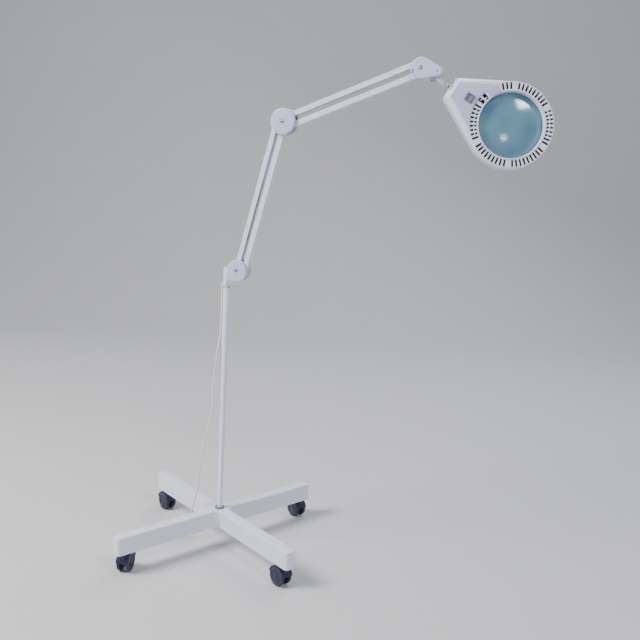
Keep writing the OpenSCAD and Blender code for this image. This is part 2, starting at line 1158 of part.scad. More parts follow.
module head_lower_shell() {
    low = -lower_shell_h;
    lip_top = lens_mid - lens_edge / 2 - 0.9;
    color(plastic_lilac)
        in_head() {
            difference() {
                translate([0, 0, low])
                    linear_extrude(lower_shell_h)
                        head_outline(0);
                translate([0, 0, low + skin])
                    linear_extrude(lower_shell_h)
                        head_outline(skin);
                translate([0, 0, low - 1])
                    cylinder(r = window_out, h = skin + 2);
                neck_hole();
                for (p = boss_places)
                    translate([p[0], p[1], low - 1])
                        cylinder(r = boss_r - 0.5, h = skin + 2);
            }
            translate([0, 0, low])
                rotate_extrude($fn = 128)
                    polygon([
                        [tube_in, 0],
                        [tube_out, 0],
                        [tube_out, lower_shell_h + lens_mid + lens_edge],
                        [tube_in, lower_shell_h + lens_mid + lens_edge],
                        [tube_in, lower_shell_h + lip_top],
                        [clear_r, lower_shell_h + lip_top],
                        [clear_r, lower_shell_h + lip_top - 2],
                        [tube_in, lower_shell_h + lip_top - 2]
                    ]);
            for (a = slot_gaps)
                rotate([0, 0, a])
                    shell_rib();
            for (p = boss_places)
                translate([p[0], p[1], low])
                    shell_post();
            for (x = [86, 112])
                translate([x, -9, low + skin - 0.2])
                    cube([3, 18, board_stand]);
        }
}

// True when a vent slot may stand at this angle
function slot_free(a) =
    min([for (g = slot_gaps) abs((a - g + 540) % 360 - 180)]) > 2
    && abs((a - tab_angle + 540) % 360 - 180) > 10;

module head_upper_cover() {
    plateau = 1.5;
    plateau_inset = 8;
    color(plastic_lilac)
        in_head() {
            difference() {
                union() {
                    translate([0, 0, 0.1])
                        linear_extrude(upper_cover_h - 5)
                            head_outline(1.5);
                    translate([0, 0, 0.1])
                        linear_extrude(upper_cover_h - 0.1)
                            head_outline(4);
                    intersection() {
                        translate([0, 0, upper_cover_h - 1])
                            linear_extrude(plateau + 1)
                                head_outline(plateau_inset);
                        translate([slot_out + 2, -neck_w, 0])
                            cube(2 * neck_w);
                    }
                }
                difference() {
                    translate([0, 0, -1])
                        linear_extrude(upper_cover_h - skin + 1)
                            head_outline(4 + skin);
                    for (p = boss_places)
                        translate([p[0], p[1], 0.2])
                            cylinder(r = boss_r, h = 40);
                }
                translate([0, 0, -1])
                    cylinder(r = lens_r + 2.1, h = 40);
                for (a = [slot_step / 2 : slot_step : 360])
                    if (slot_free(a))
                        rotate([0, 0, a])
                            translate([slot_in, -slot_w / 2, upper_cover_h - 4])
                                cube([slot_out - slot_in, slot_w, 10]);
                translate([switch_x - switch_hole / 2, -switch_hole / 2, 0])
                    cube([switch_hole, switch_hole, 40]);
                neck_hole();
                for (p = boss_places)
                    translate([p[0], p[1], -1])
                        cylinder(r = screw_r + press_gap, h = 8);
            }
        }
}

module neck_bush() {
    bush_len = 5;
    color(plastic_lilac)
        in_head()
            translate([neck_wall_x - 3, 0, 0])
                rotate([0, 90, 0])
                    difference() {
                        union() {
                            cylinder(r = bush_r, h = bush_len);
                            cylinder(r = bush_r + 1.6, h = 2.6);
                        }
                        translate([0, 0, -1])
                            cylinder(r = stub_r + run_gap, h = bush_len + 2);
                    }
}

module lens() {
    depth = lens_face_r - sqrt(lens_face_r * lens_face_r - lens_r * lens_r);
    centre_off = lens_face_r - depth - lens_edge / 2;
    color([0.55, 0.75, 0.85, 0.5])
        in_head()
            translate([0, 0, lens_mid])
                intersection() {
                    translate([0, 0, -centre_off])
                        sphere(r = lens_face_r, $fn = 256);
                    translate([0, 0, centre_off])
                        sphere(r = lens_face_r, $fn = 256);
                    cylinder(r = lens_r, h = 40, center = true, $fn = 128);
                }
}

// White rim over the lens, with a ribbed tab for prising it out
module lens_ring() {
    rim_low = lens_mid + lens_edge + 0.2;
    rim_high = upper_cover_h + 1;
    tab_z = upper_cover_h + 0.1;
    color(powder_white)
        in_head() {
            ring(clear_r, lens_r + 2, rim_low, rim_high);
            rotate([0, 0, tab_angle])
                difference() {
                    translate([lens_r, -tab_half, tab_z])
                        cube([head_r - lens_r - 5, 2 * tab_half, 2.2]);
                    for (k = [-1 : 1])
                        translate([lens_r + 4, k * 5 - 0.8, tab_z + 1.2])
                            cube([10, 1.6, 2]);
                }
        }
}

module led_board() {
    color(powder_white)
        in_head()
            ring(tube_out + 0.3, slot_out, board_z, board_z + 1.6);
}

module leds() {
    led = 3;
    color([0.98, 0.95, 0.7])
        in_head()
            for (k = [0 : led_count - 1])
                rotate([0, 0, (k + 0.5) * 360 / led_count])
                    translate([led_r - led / 2, -led / 2, board_z - 1.3])
                        cube([led, led, 1.2]);
}

module diffuser_ring() {
    color([0.9, 0.93, 0.96, 0.7])
        in_head()
            ring(window_in, window_out - 0.3, -lower_shell_h, -lower_shell_h + diffuser_t);
}

module driver_board() {
    color(board_green)
        in_head()
            translate([0, 0, -lower_shell_h + skin + board_stand - 0.1]) {
                translate([84, -11, 0])
                    cube([40, 22, 1.6]);
                translate([88, -10, 1.5])
                    cube([13, 11, 7]);
                translate([110, 4, 1.5])
                    cylinder(r = 4, h = 6.5);
            }
}

module switch_body() {
    flange_z = upper_cover_h + 1.6;
    well = switch_hole - 2.4;
    color(dark_grey)
        in_head()
            translate([switch_x, 0, 0])
                difference() {
                    union() {
                        translate([-switch_side / 2, -switch_side / 2, flange_z])
                            cube([switch_side, switch_side, 1.4]);
                        translate([-switch_hole / 2 + 0.1, -switch_hole / 2 + 0.1, 2])
                            cube([switch_hole - 0.2, switch_hole - 0.2, flange_z - 1.5]);
                    }
                    translate([-well / 2, -well / 2, 8])
                        cube([well, well, 20]);
                    translate([0, 0, flange_z - 2])
                        cross_bar(1 + run_gap, well / 2 + 1);
                }
}

// Rocker on its own pin, pressed down at one end
module switch_rocker() {
    press = 8;
    side = switch_hole - 3.6;
    pivot_z = upper_cover_h - 0.4;
    color(dark_grey)
        in_head()
            translate([switch_x, 0, pivot_z])
                rotate([0, press, 0]) {
                    translate([-side / 2, -side / 2, -1.6])
                        cube([side, side, 4.6]);
                    cross_bar(1, side / 2 + 1);
                }
}

module head_screws() {
    color(steel)
        in_head()
            for (p = boss_places)
                translate([p[0], p[1], -lower_shell_h]) {
                    cylinder(r = screw_head_r, h = skin - 0.1);
                    translate([0, 0, 1])
                        cylinder(r = screw_r, h = lower_shell_h + 4);
                }
}

base_shell();
base_plate();
leg_weights();
hub_block();
pole_collar();
pole_bolt();
lower_pole();
upper_pole();
swivel_bush();
caster_stems();
power_cable();
plug_body();
plug_pins();
at_caster(0) caster_hood();  // front_left_hood
at_caster(1) caster_hood();  // front_right_hood
at_caster(2) caster_hood();  // rear_right_hood
at_caster(3) caster_hood();  // rear_left_hood
at_caster(0) caster_wheels();  // front_left_wheels
at_caster(1) caster_wheels();  // front_right_wheels
at_caster(2) caster_wheels();  // rear_right_wheels
at_caster(3) caster_wheels();  // rear_left_wheels
pole_bracket();
shoulder_pins();
shoulder_front_cover();
shoulder_rear_cover();
shoulder_screws();
lower_main_bar();
lower_second_bar();
lower_spring();
lower_wire();
elbow_plates();
elbow_pins();
elbow_front_cover();
elbow_rear_cover();
elbow_screws();
upper_main_bar();
upper_second_bar();
upper_spring();
upper_wire();
tip_bracket();
tip_pins();
tip_front_cover();
tip_rear_cover();
tip_screws();
pan_bolt();
yoke();
tilt_screw();
neck_joint();
neck_bush();
head_lower_shell();
head_upper_cover();
lens();
lens_ring();
led_board();
leds();
diffuser_ring();
driver_board();
switch_body();
switch_rocker();
head_screws();
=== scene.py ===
# Looks of the magnifying lamp. Shapes are drawn in millimetres and placed in the shared frame, in metres.

import json
import math

import bmesh
import bpy
from mathutils import Matrix, Vector


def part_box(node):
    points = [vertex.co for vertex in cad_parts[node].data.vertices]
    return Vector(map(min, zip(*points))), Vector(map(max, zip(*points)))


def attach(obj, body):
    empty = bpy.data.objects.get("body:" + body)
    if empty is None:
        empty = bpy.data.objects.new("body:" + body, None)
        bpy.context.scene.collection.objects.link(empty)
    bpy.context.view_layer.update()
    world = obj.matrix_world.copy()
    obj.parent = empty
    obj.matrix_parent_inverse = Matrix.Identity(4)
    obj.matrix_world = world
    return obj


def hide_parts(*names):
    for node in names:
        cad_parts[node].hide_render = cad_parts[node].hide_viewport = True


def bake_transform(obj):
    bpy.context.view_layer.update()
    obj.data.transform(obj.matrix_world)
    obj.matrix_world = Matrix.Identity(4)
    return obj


MM = 0.001

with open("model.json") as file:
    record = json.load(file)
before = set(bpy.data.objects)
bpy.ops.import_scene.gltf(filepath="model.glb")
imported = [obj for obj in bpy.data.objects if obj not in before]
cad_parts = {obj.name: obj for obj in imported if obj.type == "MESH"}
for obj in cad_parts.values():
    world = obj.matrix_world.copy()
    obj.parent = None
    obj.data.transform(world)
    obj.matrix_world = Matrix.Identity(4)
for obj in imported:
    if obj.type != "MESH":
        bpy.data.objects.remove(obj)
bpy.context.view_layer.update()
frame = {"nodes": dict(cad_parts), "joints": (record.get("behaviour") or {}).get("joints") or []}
JOINTS = {j["name"]: j for j in frame["joints"]}


# ---------------------------------------------------------------- placing

def joint_at(name):
    """Place of a joint in millimetres."""
    return Vector(JOINTS[name]["pos_m"]) / MM


def joint_axis(name):
    return Vector(JOINTS[name]["axis"]).normalized()


def placed(origin, x_axis, z_axis):
    """Matrix whose columns are a local frame, from its origin and two of its axes."""
    x = Vector(x_axis).normalized()
    z = Vector(z_axis).normalized()
    y = z.cross(x)
    rows = Matrix((x, y, z)).transposed().to_4x4()
    rows.translation = Vector(origin)
    return rows


def turn(degrees, axis):
    return Matrix.Rotation(math.radians(degrees), 4, axis)


def shift(x, y, z):
    return Matrix.Translation((x, y, z))


# ---------------------------------------------------------------- outlines

def polar(radius, degrees, centre=(0.0, 0.0)):
    a = math.radians(degrees)
    return Vector((centre[0] + radius * math.cos(a), centre[1] + radius * math.sin(a)))


def arc(centre, radius, start, end, steps):
    return [polar(radius, start + (end - start) * k / steps, centre) for k in range(steps + 1)]


def circle(radius, steps=64, centre=(0.0, 0.0)):
    return arc(centre, radius, 0, 360 * (1 - 1 / steps), steps - 1)


def inset(points, amount):
    """A closed anticlockwise outline moved inwards by amount."""
    moved = []
    for k, p in enumerate(points):
        before = (p - points[k - 1]).normalized()
        after = (points[(k + 1) % len(points)] - p).normalized()
        n0 = Vector((-before.y, before.x))
        n1 = Vector((-after.y, after.x))
        mid = (n0 + n1).normalized()
        moved.append(p + mid * (amount / max(mid.dot(n1), 0.3)))
    return moved


def tangent_angle(centre, r0, r1, side):
    """Direction of the point where a common tangent of two circles touches them."""
    c = Vector(centre)
    return math.degrees(math.atan2(c.y, c.x)) + side * math.degrees(math.acos((r0 - r1) / c.length))


def rounded_box(half_x, half_y, radius, steps=6):
    points = []
    for k, (sx, sy) in enumerate(((1, 1), (-1, 1), (-1, -1), (1, -1))):
        centre = (sx * (half_x - radius), sy * (half_y - radius))
        points += arc(centre, radius, 90 * k, 90 * k + 90, steps)
    return points


def quarter(z_start, z_end, depth, steps=5):
    """Levels of a rounded edge: (z, inset) from the wall at z_start to the face at z_end."""
    levels = []
    for k in range(steps + 1):
        a = math.pi / 2 * k / steps
        levels.append((z_start + (z_end - z_start) * math.sin(a), depth * (1 - math.cos(a))))
    return levels


# ---------------------------------------------------------------- meshes

def loop(bm, points, z):
    return [bm.verts.new((p[0], p[1], z)) for p in points]


def bridge(bm, a, b):
    count = len(a)
    for k in range(count):
        bm.faces.new((a[k], a[(k + 1) % count], b[(k + 1) % count], b[k]))


def stack(bm, outlines, cap_first=True, cap_last=True):
    """Skin over a list of (outline, z) with equal numbers of points."""
    loops = [loop(bm, points, z) for points, z in outlines]
    for a, b in zip(loops, loops[1:]):
        bridge(bm, a, b)
    if cap_first:
        bm.faces.new(list(reversed(loops[0])))
    if cap_last:
        bm.faces.new(loops[-1])
    return loops


def prism(bm, outline, levels, **caps):
    """Skin of an outline drawn at each (z, inset) of levels."""
    return stack(bm, [(inset(outline, amount), z) for z, amount in levels], **caps)


def revolve(bm, profile, steps=64, closed=False):
    """Turns (radius, z) points about Z. Points on the axis become poles."""
    rings = []
    for radius, z in profile:
        if radius < 1e-6:
            rings.append([bm.verts.new((0, 0, z))])
        else:
            rings.append(loop(bm, circle(radius, steps), z))
    pairs = list(zip(rings, rings[1:]))
    if closed:
        pairs.append((rings[-1], rings[0]))
    for a, b in pairs:
        if len(a) == 1 and len(b) > 1:
            for k in range(steps):
                bm.faces.new((a[0], b[k], b[(k + 1) % steps]))
        elif len(b) == 1 and len(a) > 1:
            for k in range(steps):
                bm.faces.new((a[k], b[0], a[(k + 1) % steps]))
        elif len(a) > 1:
            bridge(bm, a, b)


def smooth_path(points, steps):
    """Points of a Catmull-Rom curve through the given ones."""
    pts = [Vector(p) for p in points]
    ends = [pts[0] * 2 - pts[1]] + pts + [pts[-1] * 2 - pts[-2]]
    path = []
    for k in range(1, len(ends) - 2):
        p0, p1, p2, p3 = ends[k - 1:k + 3]
        for s in range(steps):
            t = s / steps
            path.append(0.5 * (2 * p1 + (p2 - p0) * t
                               + (2 * p0 - 5 * p1 + 4 * p2 - p3) * t * t
                               + (3 * p1 - p0 - 3 * p2 + p3) * t ** 3))
    path.append(pts[-1])
    return path


def sweep(bm, path, radius, sides=12):
    """Round tube along a list of points, closed at both ends."""
    side = Vector((0, 0, 1)).cross(path[1] - path[0])
    if side.length < 1e-4:
        side = Vector((0, 1, 0))
    rings = []
    for k, p in enumerate(path):
        ahead = (path[min(k + 1, len(path) - 1)] - path[max(k - 1, 0)]).normalized()
        side = (side - ahead * side.dot(ahead)).normalized()
        up = ahead.cross(side)
        ring = []
        for s in range(sides):
            a = 2 * math.pi * s / sides
            ring.append(bm.verts.new(p + (side * math.cos(a) + up * math.sin(a)) * radius))
        rings.append(ring)
    for a, b in zip(rings, rings[1:]):
        bridge(bm, a, b)
    bm.faces.new(list(reversed(rings[0])))
    bm.faces.new(rings[-1])


def moved(bm, matrix, start=0):
    """Moves the vertices made since vertex number start."""
    bm.verts.ensure_lookup_table()
    bmesh.ops.transform(bm, matrix=matrix, verts=bm.verts[start:])


def block(bm, low, high, round_r=0.0):
    """Box between two corners, with rounded upright edges if round_r is given."""
    half_x, half_y = (high[0] - low[0]) / 2, (high[1] - low[1]) / 2
    if round_r:
        outline = rounded_box(half_x, half_y, round_r, 4)
    else:
        outline = [Vector((sx * half_x, sy * half_y)) for sx, sy in ((1, 1), (-1, 1), (-1, -1), (1, -1))]
    centre = Vector(((low[0] + high[0]) / 2, (low[1] + high[1]) / 2))
    outline = [p + centre for p in outline]
    stack(bm, [(outline, low[2]), (outline, high[2])])


def mesh_from(name, bm):
    bmesh.ops.remove_doubles(bm, verts=bm.verts, dist=1e-4)
    bmesh.ops.recalc_face_normals(bm, faces=bm.faces)
    mesh = bpy.data.meshes.new(name)
    bm.to_mesh(mesh)
    bm.free()
    return mesh


def minus(mesh, cutter):
    """The mesh with the cutter taken away."""
    pair = []
    for data in (mesh, cutter):
        obj = bpy.data.objects.new("work", data)
        bpy.context.scene.collection.objects.link(obj)
        pair.append(obj)
    cut = pair[0].modifiers.new("cut", "BOOLEAN")
    cut.operation = "DIFFERENCE"
    cut.solver = "EXACT"
    cut.object = pair[1]
    bpy.context.view_layer.update()
    shown = pair[0].evaluated_get(bpy.context.evaluated_depsgraph_get())
    result = bpy.data.meshes.new_from_object(shown)
    for obj in pair:
        bpy.data.objects.remove(obj)
    return result


def piece(name, mesh, material, body, place, replaces=(), crease=32, edge=0.0):
    """Turns a mesh in millimetres into a piece that rides on a body of the frame."""
    mesh.transform(Matrix.Scale(MM, 4) @ place)
    mesh.materials.clear()
    mesh.materials.append(material)
    mesh.shade_smooth()
    mesh.set_sharp_from_angle(angle=math.radians(crease))
    obj = bpy.data.objects.new(name, mesh)
    bpy.context.scene.collection.objects.link(obj)
    if edge:
        soften(obj, edge)
    even = obj.modifiers.new("even", "WEIGHTED_NORMAL")
    even.keep_sharp = True
    even.weight = 80
    if body:
        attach(obj, body)
    if replaces:
        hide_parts(*replaces)
    return obj


def soften(obj, width, segments=2):
    """Small rounded edges as modifiers."""
    weld = obj.modifiers.new("weld", "WELD")
    weld.merge_threshold = 1e-6
    bevel = obj.modifiers.new("edge", "BEVEL")
    bevel.width = width * MM
    bevel.segments = segments
    bevel.limit_method = "ANGLE"
    bevel.angle_limit = math.radians(38)
    bevel.harden_normals = True
    bevel.use_clamp_overlap = True


def keep_cad(node, material, edge=0.3):
    """Shows a CAD node with its own material and rounded edges."""
    obj = frame["nodes"][node]
    obj.data.materials.clear()
    obj.data.materials.append(material)
    if edge:
        soften(obj, edge)


# ---------------------------------------------------------------- materials

class Graph:
    """Short names for building a material's node tree."""

    def __init__(self, name):
        self.material = bpy.data.materials.new(name)
        self.material.use_nodes = True
        self.tree = self.material.node_tree
        self.shader = self.tree.nodes["Principled BSDF"]
        self.place = self.add("ShaderNodeTexCoord").outputs["Object"]

    def add(self, kind, **values):
        node = self.tree.nodes.new(kind)
        for key, value in values.items():
            setattr(node, key, value)
        return node

    def join(self, out, into):
        self.tree.links.new(out, into)

    def noise(self, scale, detail=4.0, rough=0.55, stretch=(1, 1, 1)):
        scaled = self.add("ShaderNodeMapping")
        scaled.inputs["Scale"].default_value = stretch
        self.join(self.place, scaled.inputs["Vector"])
        tex = self.add("ShaderNodeTexNoise")
        tex.inputs["Scale"].default_value = scale
        tex.inputs["Detail"].default_value = detail
        tex.inputs["Roughness"].default_value = rough
        self.join(scaled.outputs["Vector"], tex.inputs["Vector"])
        return tex.outputs["Fac"]

    def remap(self, value, low, high, to_low, to_high):
        node = self.add("ShaderNodeMapRange")
        node.inputs["From Min"].default_value = low
        node.inputs["From Max"].default_value = high
        node.inputs["To Min"].default_value = to_low
        node.inputs["To Max"].default_value = to_high
        self.join(value, node.inputs["Value"])
        return node.outputs["Result"]

    def mix(self, factor, a, b):
        node = self.add("ShaderNodeMix", data_type="RGBA")
        self.join(factor, node.inputs["Factor"])
        for value, socket in ((a, node.inputs["A"]), (b, node.inputs["B"])):
            if isinstance(value, tuple):
                socket.default_value = value
            else:
                self.join(value, socket)
        return node.outputs["Result"]

    def corners(self, distance):
        """Ambient occlusion: bright where surfaces are open, dark in corners; used for painted shade."""
        node = self.add("ShaderNodeAmbientOcclusion")
        node.samples = 4
        node.inputs["Distance"].default_value = distance
        return node.outputs["AO"]

    def bump(self, height, strength, distance, under=None):
        node = self.add("ShaderNodeBump")
        node.inputs["Strength"].default_value = strength
        node.inputs["Distance"].default_value = distance
        self.join(height, node.inputs["Height"])
        if under is not None:
            self.join(under, node.inputs["Normal"])
        return node.outputs["Normal"]


def rgb(r, g, b):
    return (r, g, b, 1.0)


def coated(name, colour, dirt_and_shade, rough, peel_scale, peel_depth, blotch=60, metal=0.0, coat=0.0):
    """Paint or plastic: soft blotches of wear, painted shade that darkens the corners (from ambient
    occlusion), uneven gloss and a fine surface.
    """
    g = Graph(name)
    worn = g.remap(g.noise(blotch), 0.3, 0.75, 0.0, 0.35)
    base = g.mix(worn, colour, dirt_and_shade)
    # Painted shade: the colour is darkened towards the darker colour in corners, where ambient occlusion
    # finds them.
    painted_corner_shade = g.remap(g.corners(0.006), 0.2, 0.9, 0.55, 0.0)
    g.join(g.mix(painted_corner_shade, base, dirt_and_shade), g.shader.inputs["Base Color"])
    gloss = g.remap(g.noise(blotch * 2.3), 0.25, 0.8, rough - 0.06, rough + 0.1)
    g.join(gloss, g.shader.inputs["Roughness"])
    g.join(g.bump(g.noise(peel_scale, 3), 0.35, peel_depth), g.shader.inputs["Normal"])
    g.shader.inputs["Metallic"].default_value = metal
    g.shader.inputs["Coat Weight"].default_value = coat
    g.shader.inputs["Coat Roughness"].default_value = 0.25
    return g.material


def steel(name, colour, rough, stretch, scale=900):
    """Plated steel with fine lines along one direction."""
    g = Graph(name)
    lines = g.noise(scale, 5, 0.6, stretch)
    stain = g.noise(45, 4)
    dull = g.remap(stain, 0.35, 0.8, 0.0, 0.6)
    g.join(g.mix(dull, colour, rgb(0.33, 0.32, 0.31)), g.shader.inputs["Base Color"])
    g.join(g.remap(lines, 0.3, 0.7, rough - 0.08, rough + 0.12), g.shader.inputs["Roughness"])
    g.join(g.bump(lines, 0.15, 0.00005), g.shader.inputs["Normal"])
    g.shader.inputs["Metallic"].default_value = 1.0
    return g.material


def scuffed(name, colour, scuff, rough):
    """Dark moulded nylon with pale scuffs and dust."""
    g = Graph(name)
    marks = g.remap(g.noise(420, 6, 0.7, (1, 1, 0.35)), 0.58, 0.74, 0.0, 0.5)
    dust = g.remap(g.noise(35, 3), 0.4, 0.8, 0.0, 0.25)
    g.join(g.mix(dust, g.mix(marks, colour, scuff), scuff), g.shader.inputs["Base Color"])
    g.join(g.remap(g.noise(150), 0.3, 0.7, rough - 0.08, rough + 0.15), g.shader.inputs["Roughness"])
    g.join(g.bump(g.noise(1600, 3), 0.25, 0.00008), g.shader.inputs["Normal"])
    return g.material


def tinted_glass(name, tint, deep):
    """Lens glass: partly clear, in an uneven blue-green between the tint and the deep colour."""
    g = Graph(name)
    haze = g.remap(g.noise(11, 1), 0.35, 0.65, 0.0, 1.0)
    g.join(g.mix(haze, tint, deep), g.shader.inputs["Base Color"])
    g.join(g.remap(g.noise(260, 3), 0.3, 0.8, 0.1, 0.18), g.shader.inputs["Roughness"])
    g.join(g.bump(g.noise(700, 2), 0.03, 0.00003), g.shader.inputs["Normal"])
    g.shader.inputs["IOR"].default_value = 1.5
    g.shader.inputs["Transmission Weight"].default_value = 0.45
    g.shader.inputs["Coat Weight"].default_value = 0.6
    g.shader.inputs["Coat Roughness"].default_value = 0.16
    return g.material


def frosted(name, colour, glow):
    """Milky plastic over the lights, glowing faintly."""
    g = Graph(name)
    cloud = g.remap(g.noise(80), 0.3, 0.7, 0.0, 0.4)
    g.join(g.mix(cloud, colour, rgb(0.8, 0.84, 0.88)), g.shader.inputs["Base Color"])
    g.join(g.remap(g.noise(900, 3), 0.3, 0.7, 0.4, 0.6), g.shader.inputs["Roughness"])
    g.join(g.bump(g.noise(1400, 2), 0.3, 0.0001), g.shader.inputs["Normal"])
    g.shader.inputs["Transmission Weight"].default_value = 0.35
    g.shader.inputs["Emission Color"].default_value = rgb(0.9, 0.97, 1.0)
    g.shader.inputs["Emission Strength"].default_value = glow
    return g.material


POWDER = coated("powder coat", rgb(0.84, 0.84, 0.97), rgb(0.64, 0.64, 0.78), 0.38, 700, 0.00012, coat=0.15)
PLASTIC = coated("lilac plastic", rgb(0.62, 0.61, 0.83), rgb(0.44, 0.43, 0.62), 0.34, 1500, 0.00005,
                 coat=0.1)
RIM = coated("white plastic", rgb(0.85, 0.84, 0.97), rgb(0.7, 0.7, 0.82), 0.3, 1500, 0.00005, coat=0.15)
GREY = coated("grey plastic", rgb(0.19, 0.19, 0.27), rgb(0.11, 0.11, 0.16), 0.42, 1800, 0.0001)
SHEATH = coated("cable sheath", rgb(0.82, 0.81, 0.74), rgb(0.6, 0.58, 0.5), 0.5, 900, 0.00008)
BOARD = coated("circuit board", rgb(0.03, 0.05, 0.05), rgb(0.01, 0.02, 0.02), 0.35, 1200, 0.00004)
LED = coated("led", rgb(0.9, 0.8, 0.3), rgb(0.7, 0.6, 0.2), 0.25, 2000, 0.00003)
IRON = coated("cast iron", rgb(0.06, 0.06, 0.065), rgb(0.12, 0.07, 0.05), 0.65, 260, 0.0006)
NAVY = scuffed("navy nylon", rgb(0.016, 0.018, 0.05), rgb(0.1, 0.11, 0.16), 0.34)
TREAD = scuffed("navy tread", rgb(0.02, 0.022, 0.055), rgb(0.16, 0.16, 0.2), 0.5)
STEEL = steel("zinc plated steel", rgb(0.58, 0.59, 0.62), 0.3, (1, 1, 0.15))
BRIGHT = steel("bright steel", rgb(0.7, 0.71, 0.73), 0.2, (0.2, 1, 1))
GLASS = tinted_glass("lens glass", rgb(0.27, 0.52, 0.64), rgb(0.1, 0.29, 0.42))
FROST = frosted("frosted diffuser", rgb(0.92, 0.95, 0.98), 0.05)


# ---------------------------------------------------------------- stand

# Cross of legs
LEG_TURN = 60
LEG_HALF = 12.5
LEG_REACH = 262
LEG_LOW = 46
LEG_TOP = 86
FILLET = 14
END_ROUND = 8
COLLAR_HOLE = 8
SHEET = 2.0
TUBE_WALL = 1.4


def cross_outline():
    """Plan of the four legs with rounded ends and filleted inner corners."""
    points = []
    near = LEG_HALF + FILLET
    for k in range(4):
        quarter_turn = Matrix.Rotation(math.radians(90 * k), 2)
        corner_y = LEG_HALF - END_ROUND
        corner_x = LEG_REACH - END_ROUND
        side = arc((corner_x, -corner_y), END_ROUND, -90, 0, 8)
        side += arc((corner_x, corner_y), END_ROUND, 0, 90, 8)
        side += arc((near, near), FILLET, 270, 180, 10)
        points += [quarter_turn @ p for p in side]
    return points


def base_cross():
    """Shell of the legs, open below, with a shallow well for the pole's collar."""
    bm = bmesh.new()
    edge = 2.6
    levels = [(LEG_LOW + SHEET + 0.05, SHEET), (LEG_LOW, SHEET), (LEG_LOW, 0.5), (LEG_LOW + 0.5, 0.0)]
    levels += quarter(LEG_TOP - edge, LEG_TOP, edge)
    loops = prism(bm, cross_outline(), levels, cap_last=False)
    hole = loop(bm, circle(COLLAR_HOLE, 48), LEG_TOP)
    rim = []
    for ring in (loops[-1], hole):
        for k, v in enumerate(ring):
            ahead = ring[(k + 1) % len(ring)]
            rim.append(bm.edges.get((v, ahead)) or bm.edges.new((v, ahead)))
    bmesh.ops.triangle_fill(bm, use_beauty=True, use_dissolve=False, edges=rim)
    well = loop(bm, circle(COLLAR_HOLE, 48), LEG_TOP - SHEET)
    bridge(bm, hole, well)
    bm.faces.new(well)
    piece("base_cross", mesh_from("base_cross", bm), POWDER, "stand", turn(LEG_TURN, "Z"),
          ["base_shell"])


def pole(name, node, radius, low, high):
    bm = bmesh.new()
    edge = 0.8
    bore = radius - TUBE_WALL
    revolve(bm, [(bore, low), (radius - edge, low), (radius, low + edge),
                 (radius, high - edge), (radius - edge, high), (bore, high)], 48, closed=True)
    piece(name, mesh_from(name, bm), POWDER, "stand", Matrix.Identity(4), [node])


def stand():
    base_cross()
    low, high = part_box("lower_pole")
    pole("pole_lower_tube", "lower_pole", high.x / MM, low.z / MM, high.z / MM)
    low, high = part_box("upper_pole")
    pole("pole_upper_tube", "upper_pole", high.x / MM, low.z / MM, high.z / MM)
    keep_cad("base_plate", POWDER, 0.3)
    keep_cad("pole_collar", GREY, 0.8)
    keep_cad("swivel_bush", GREY, 0.3)
    for node in ("hub_block", "pole_bolt", "caster_stems", "plug_pins"):
        keep_cad(node, STEEL, 0.4)
    keep_cad("leg_weights", IRON, 1.0)


# Power cable: hangs down the pole and falls away to the floor, seen as (distance from the pole, height)
CABLE_TURN = LEG_TURN + 135
CABLE_R = 2.0
CABLE_PATH = [
    (9.6, 612), (10.2, 585), (10.0, 540), (10.6, 505), (15, 470), (20, 420), (24, 380), (24, 330),
    (31, 280), (43, 225), (50, 170), (54, 125), (66, 70), (82, 26), (98, 8), (122, 6), (150, 9)
]
PLUG_FROM = 146.5
PLUG_Z = 9


def cable():
    plane = turn(CABLE_TURN, "Z")
    bm = bmesh.new()
    sweep(bm, smooth_path([(s, 0, z) for s, z in CABLE_PATH], 8), CABLE_R, 12)
    obj = piece("power_lead", mesh_from("power_lead", bm), SHEATH, None, plane,
                ["power_cable"])
    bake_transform(obj)


def plug():
    """Plug lying on the floor, with a ribbed sleeve where the cable goes in."""
    bm = bmesh.new()
    outline = rounded_box(6.5, 15.5, 6.0, 8)
    levels = [(0, 5.8), (0.6, 4.5), (3, 3.0), (10, 1.2)] + quarter(30, 36, 2.0)
    prism(bm, outline, levels)
    rib_step = 2.6
    widening = 0.16
    sleeve_low = -14
    bore = 2.1
    profile = []
    for k in range(6):
        z = sleeve_low + rib_step * k
        groove = 3.1 + widening * k
        crest = 3.6 + widening * k
        profile += [(groove, z), (crest, z + 0.6), (crest, z + 1.8)]
    revolve(bm, [(bore, sleeve_low)] + profile + [(4.4, 4), (bore, 4)], 32, closed=True)
    place = turn(CABLE_TURN, "Z") @ shift(PLUG_FROM, 0, PLUG_Z) @ turn(90, "Y")
    piece("plug_moulding", mesh_from("plug_moulding", bm), SHEATH, "stand", place,
          ["plug_body"])


# ---------------------------------------------------------------- casters

WHEEL_R = 21
TRAIL = 12
WEB_HALF = 6
WHEEL_W = 7
HOOD_HALF = 14
CANOPY_IN = WHEEL_R + 0.7
CANOPY_OUT = CANOPY_IN + 1.6
HOOD_TOP = 44
RIBS = 5


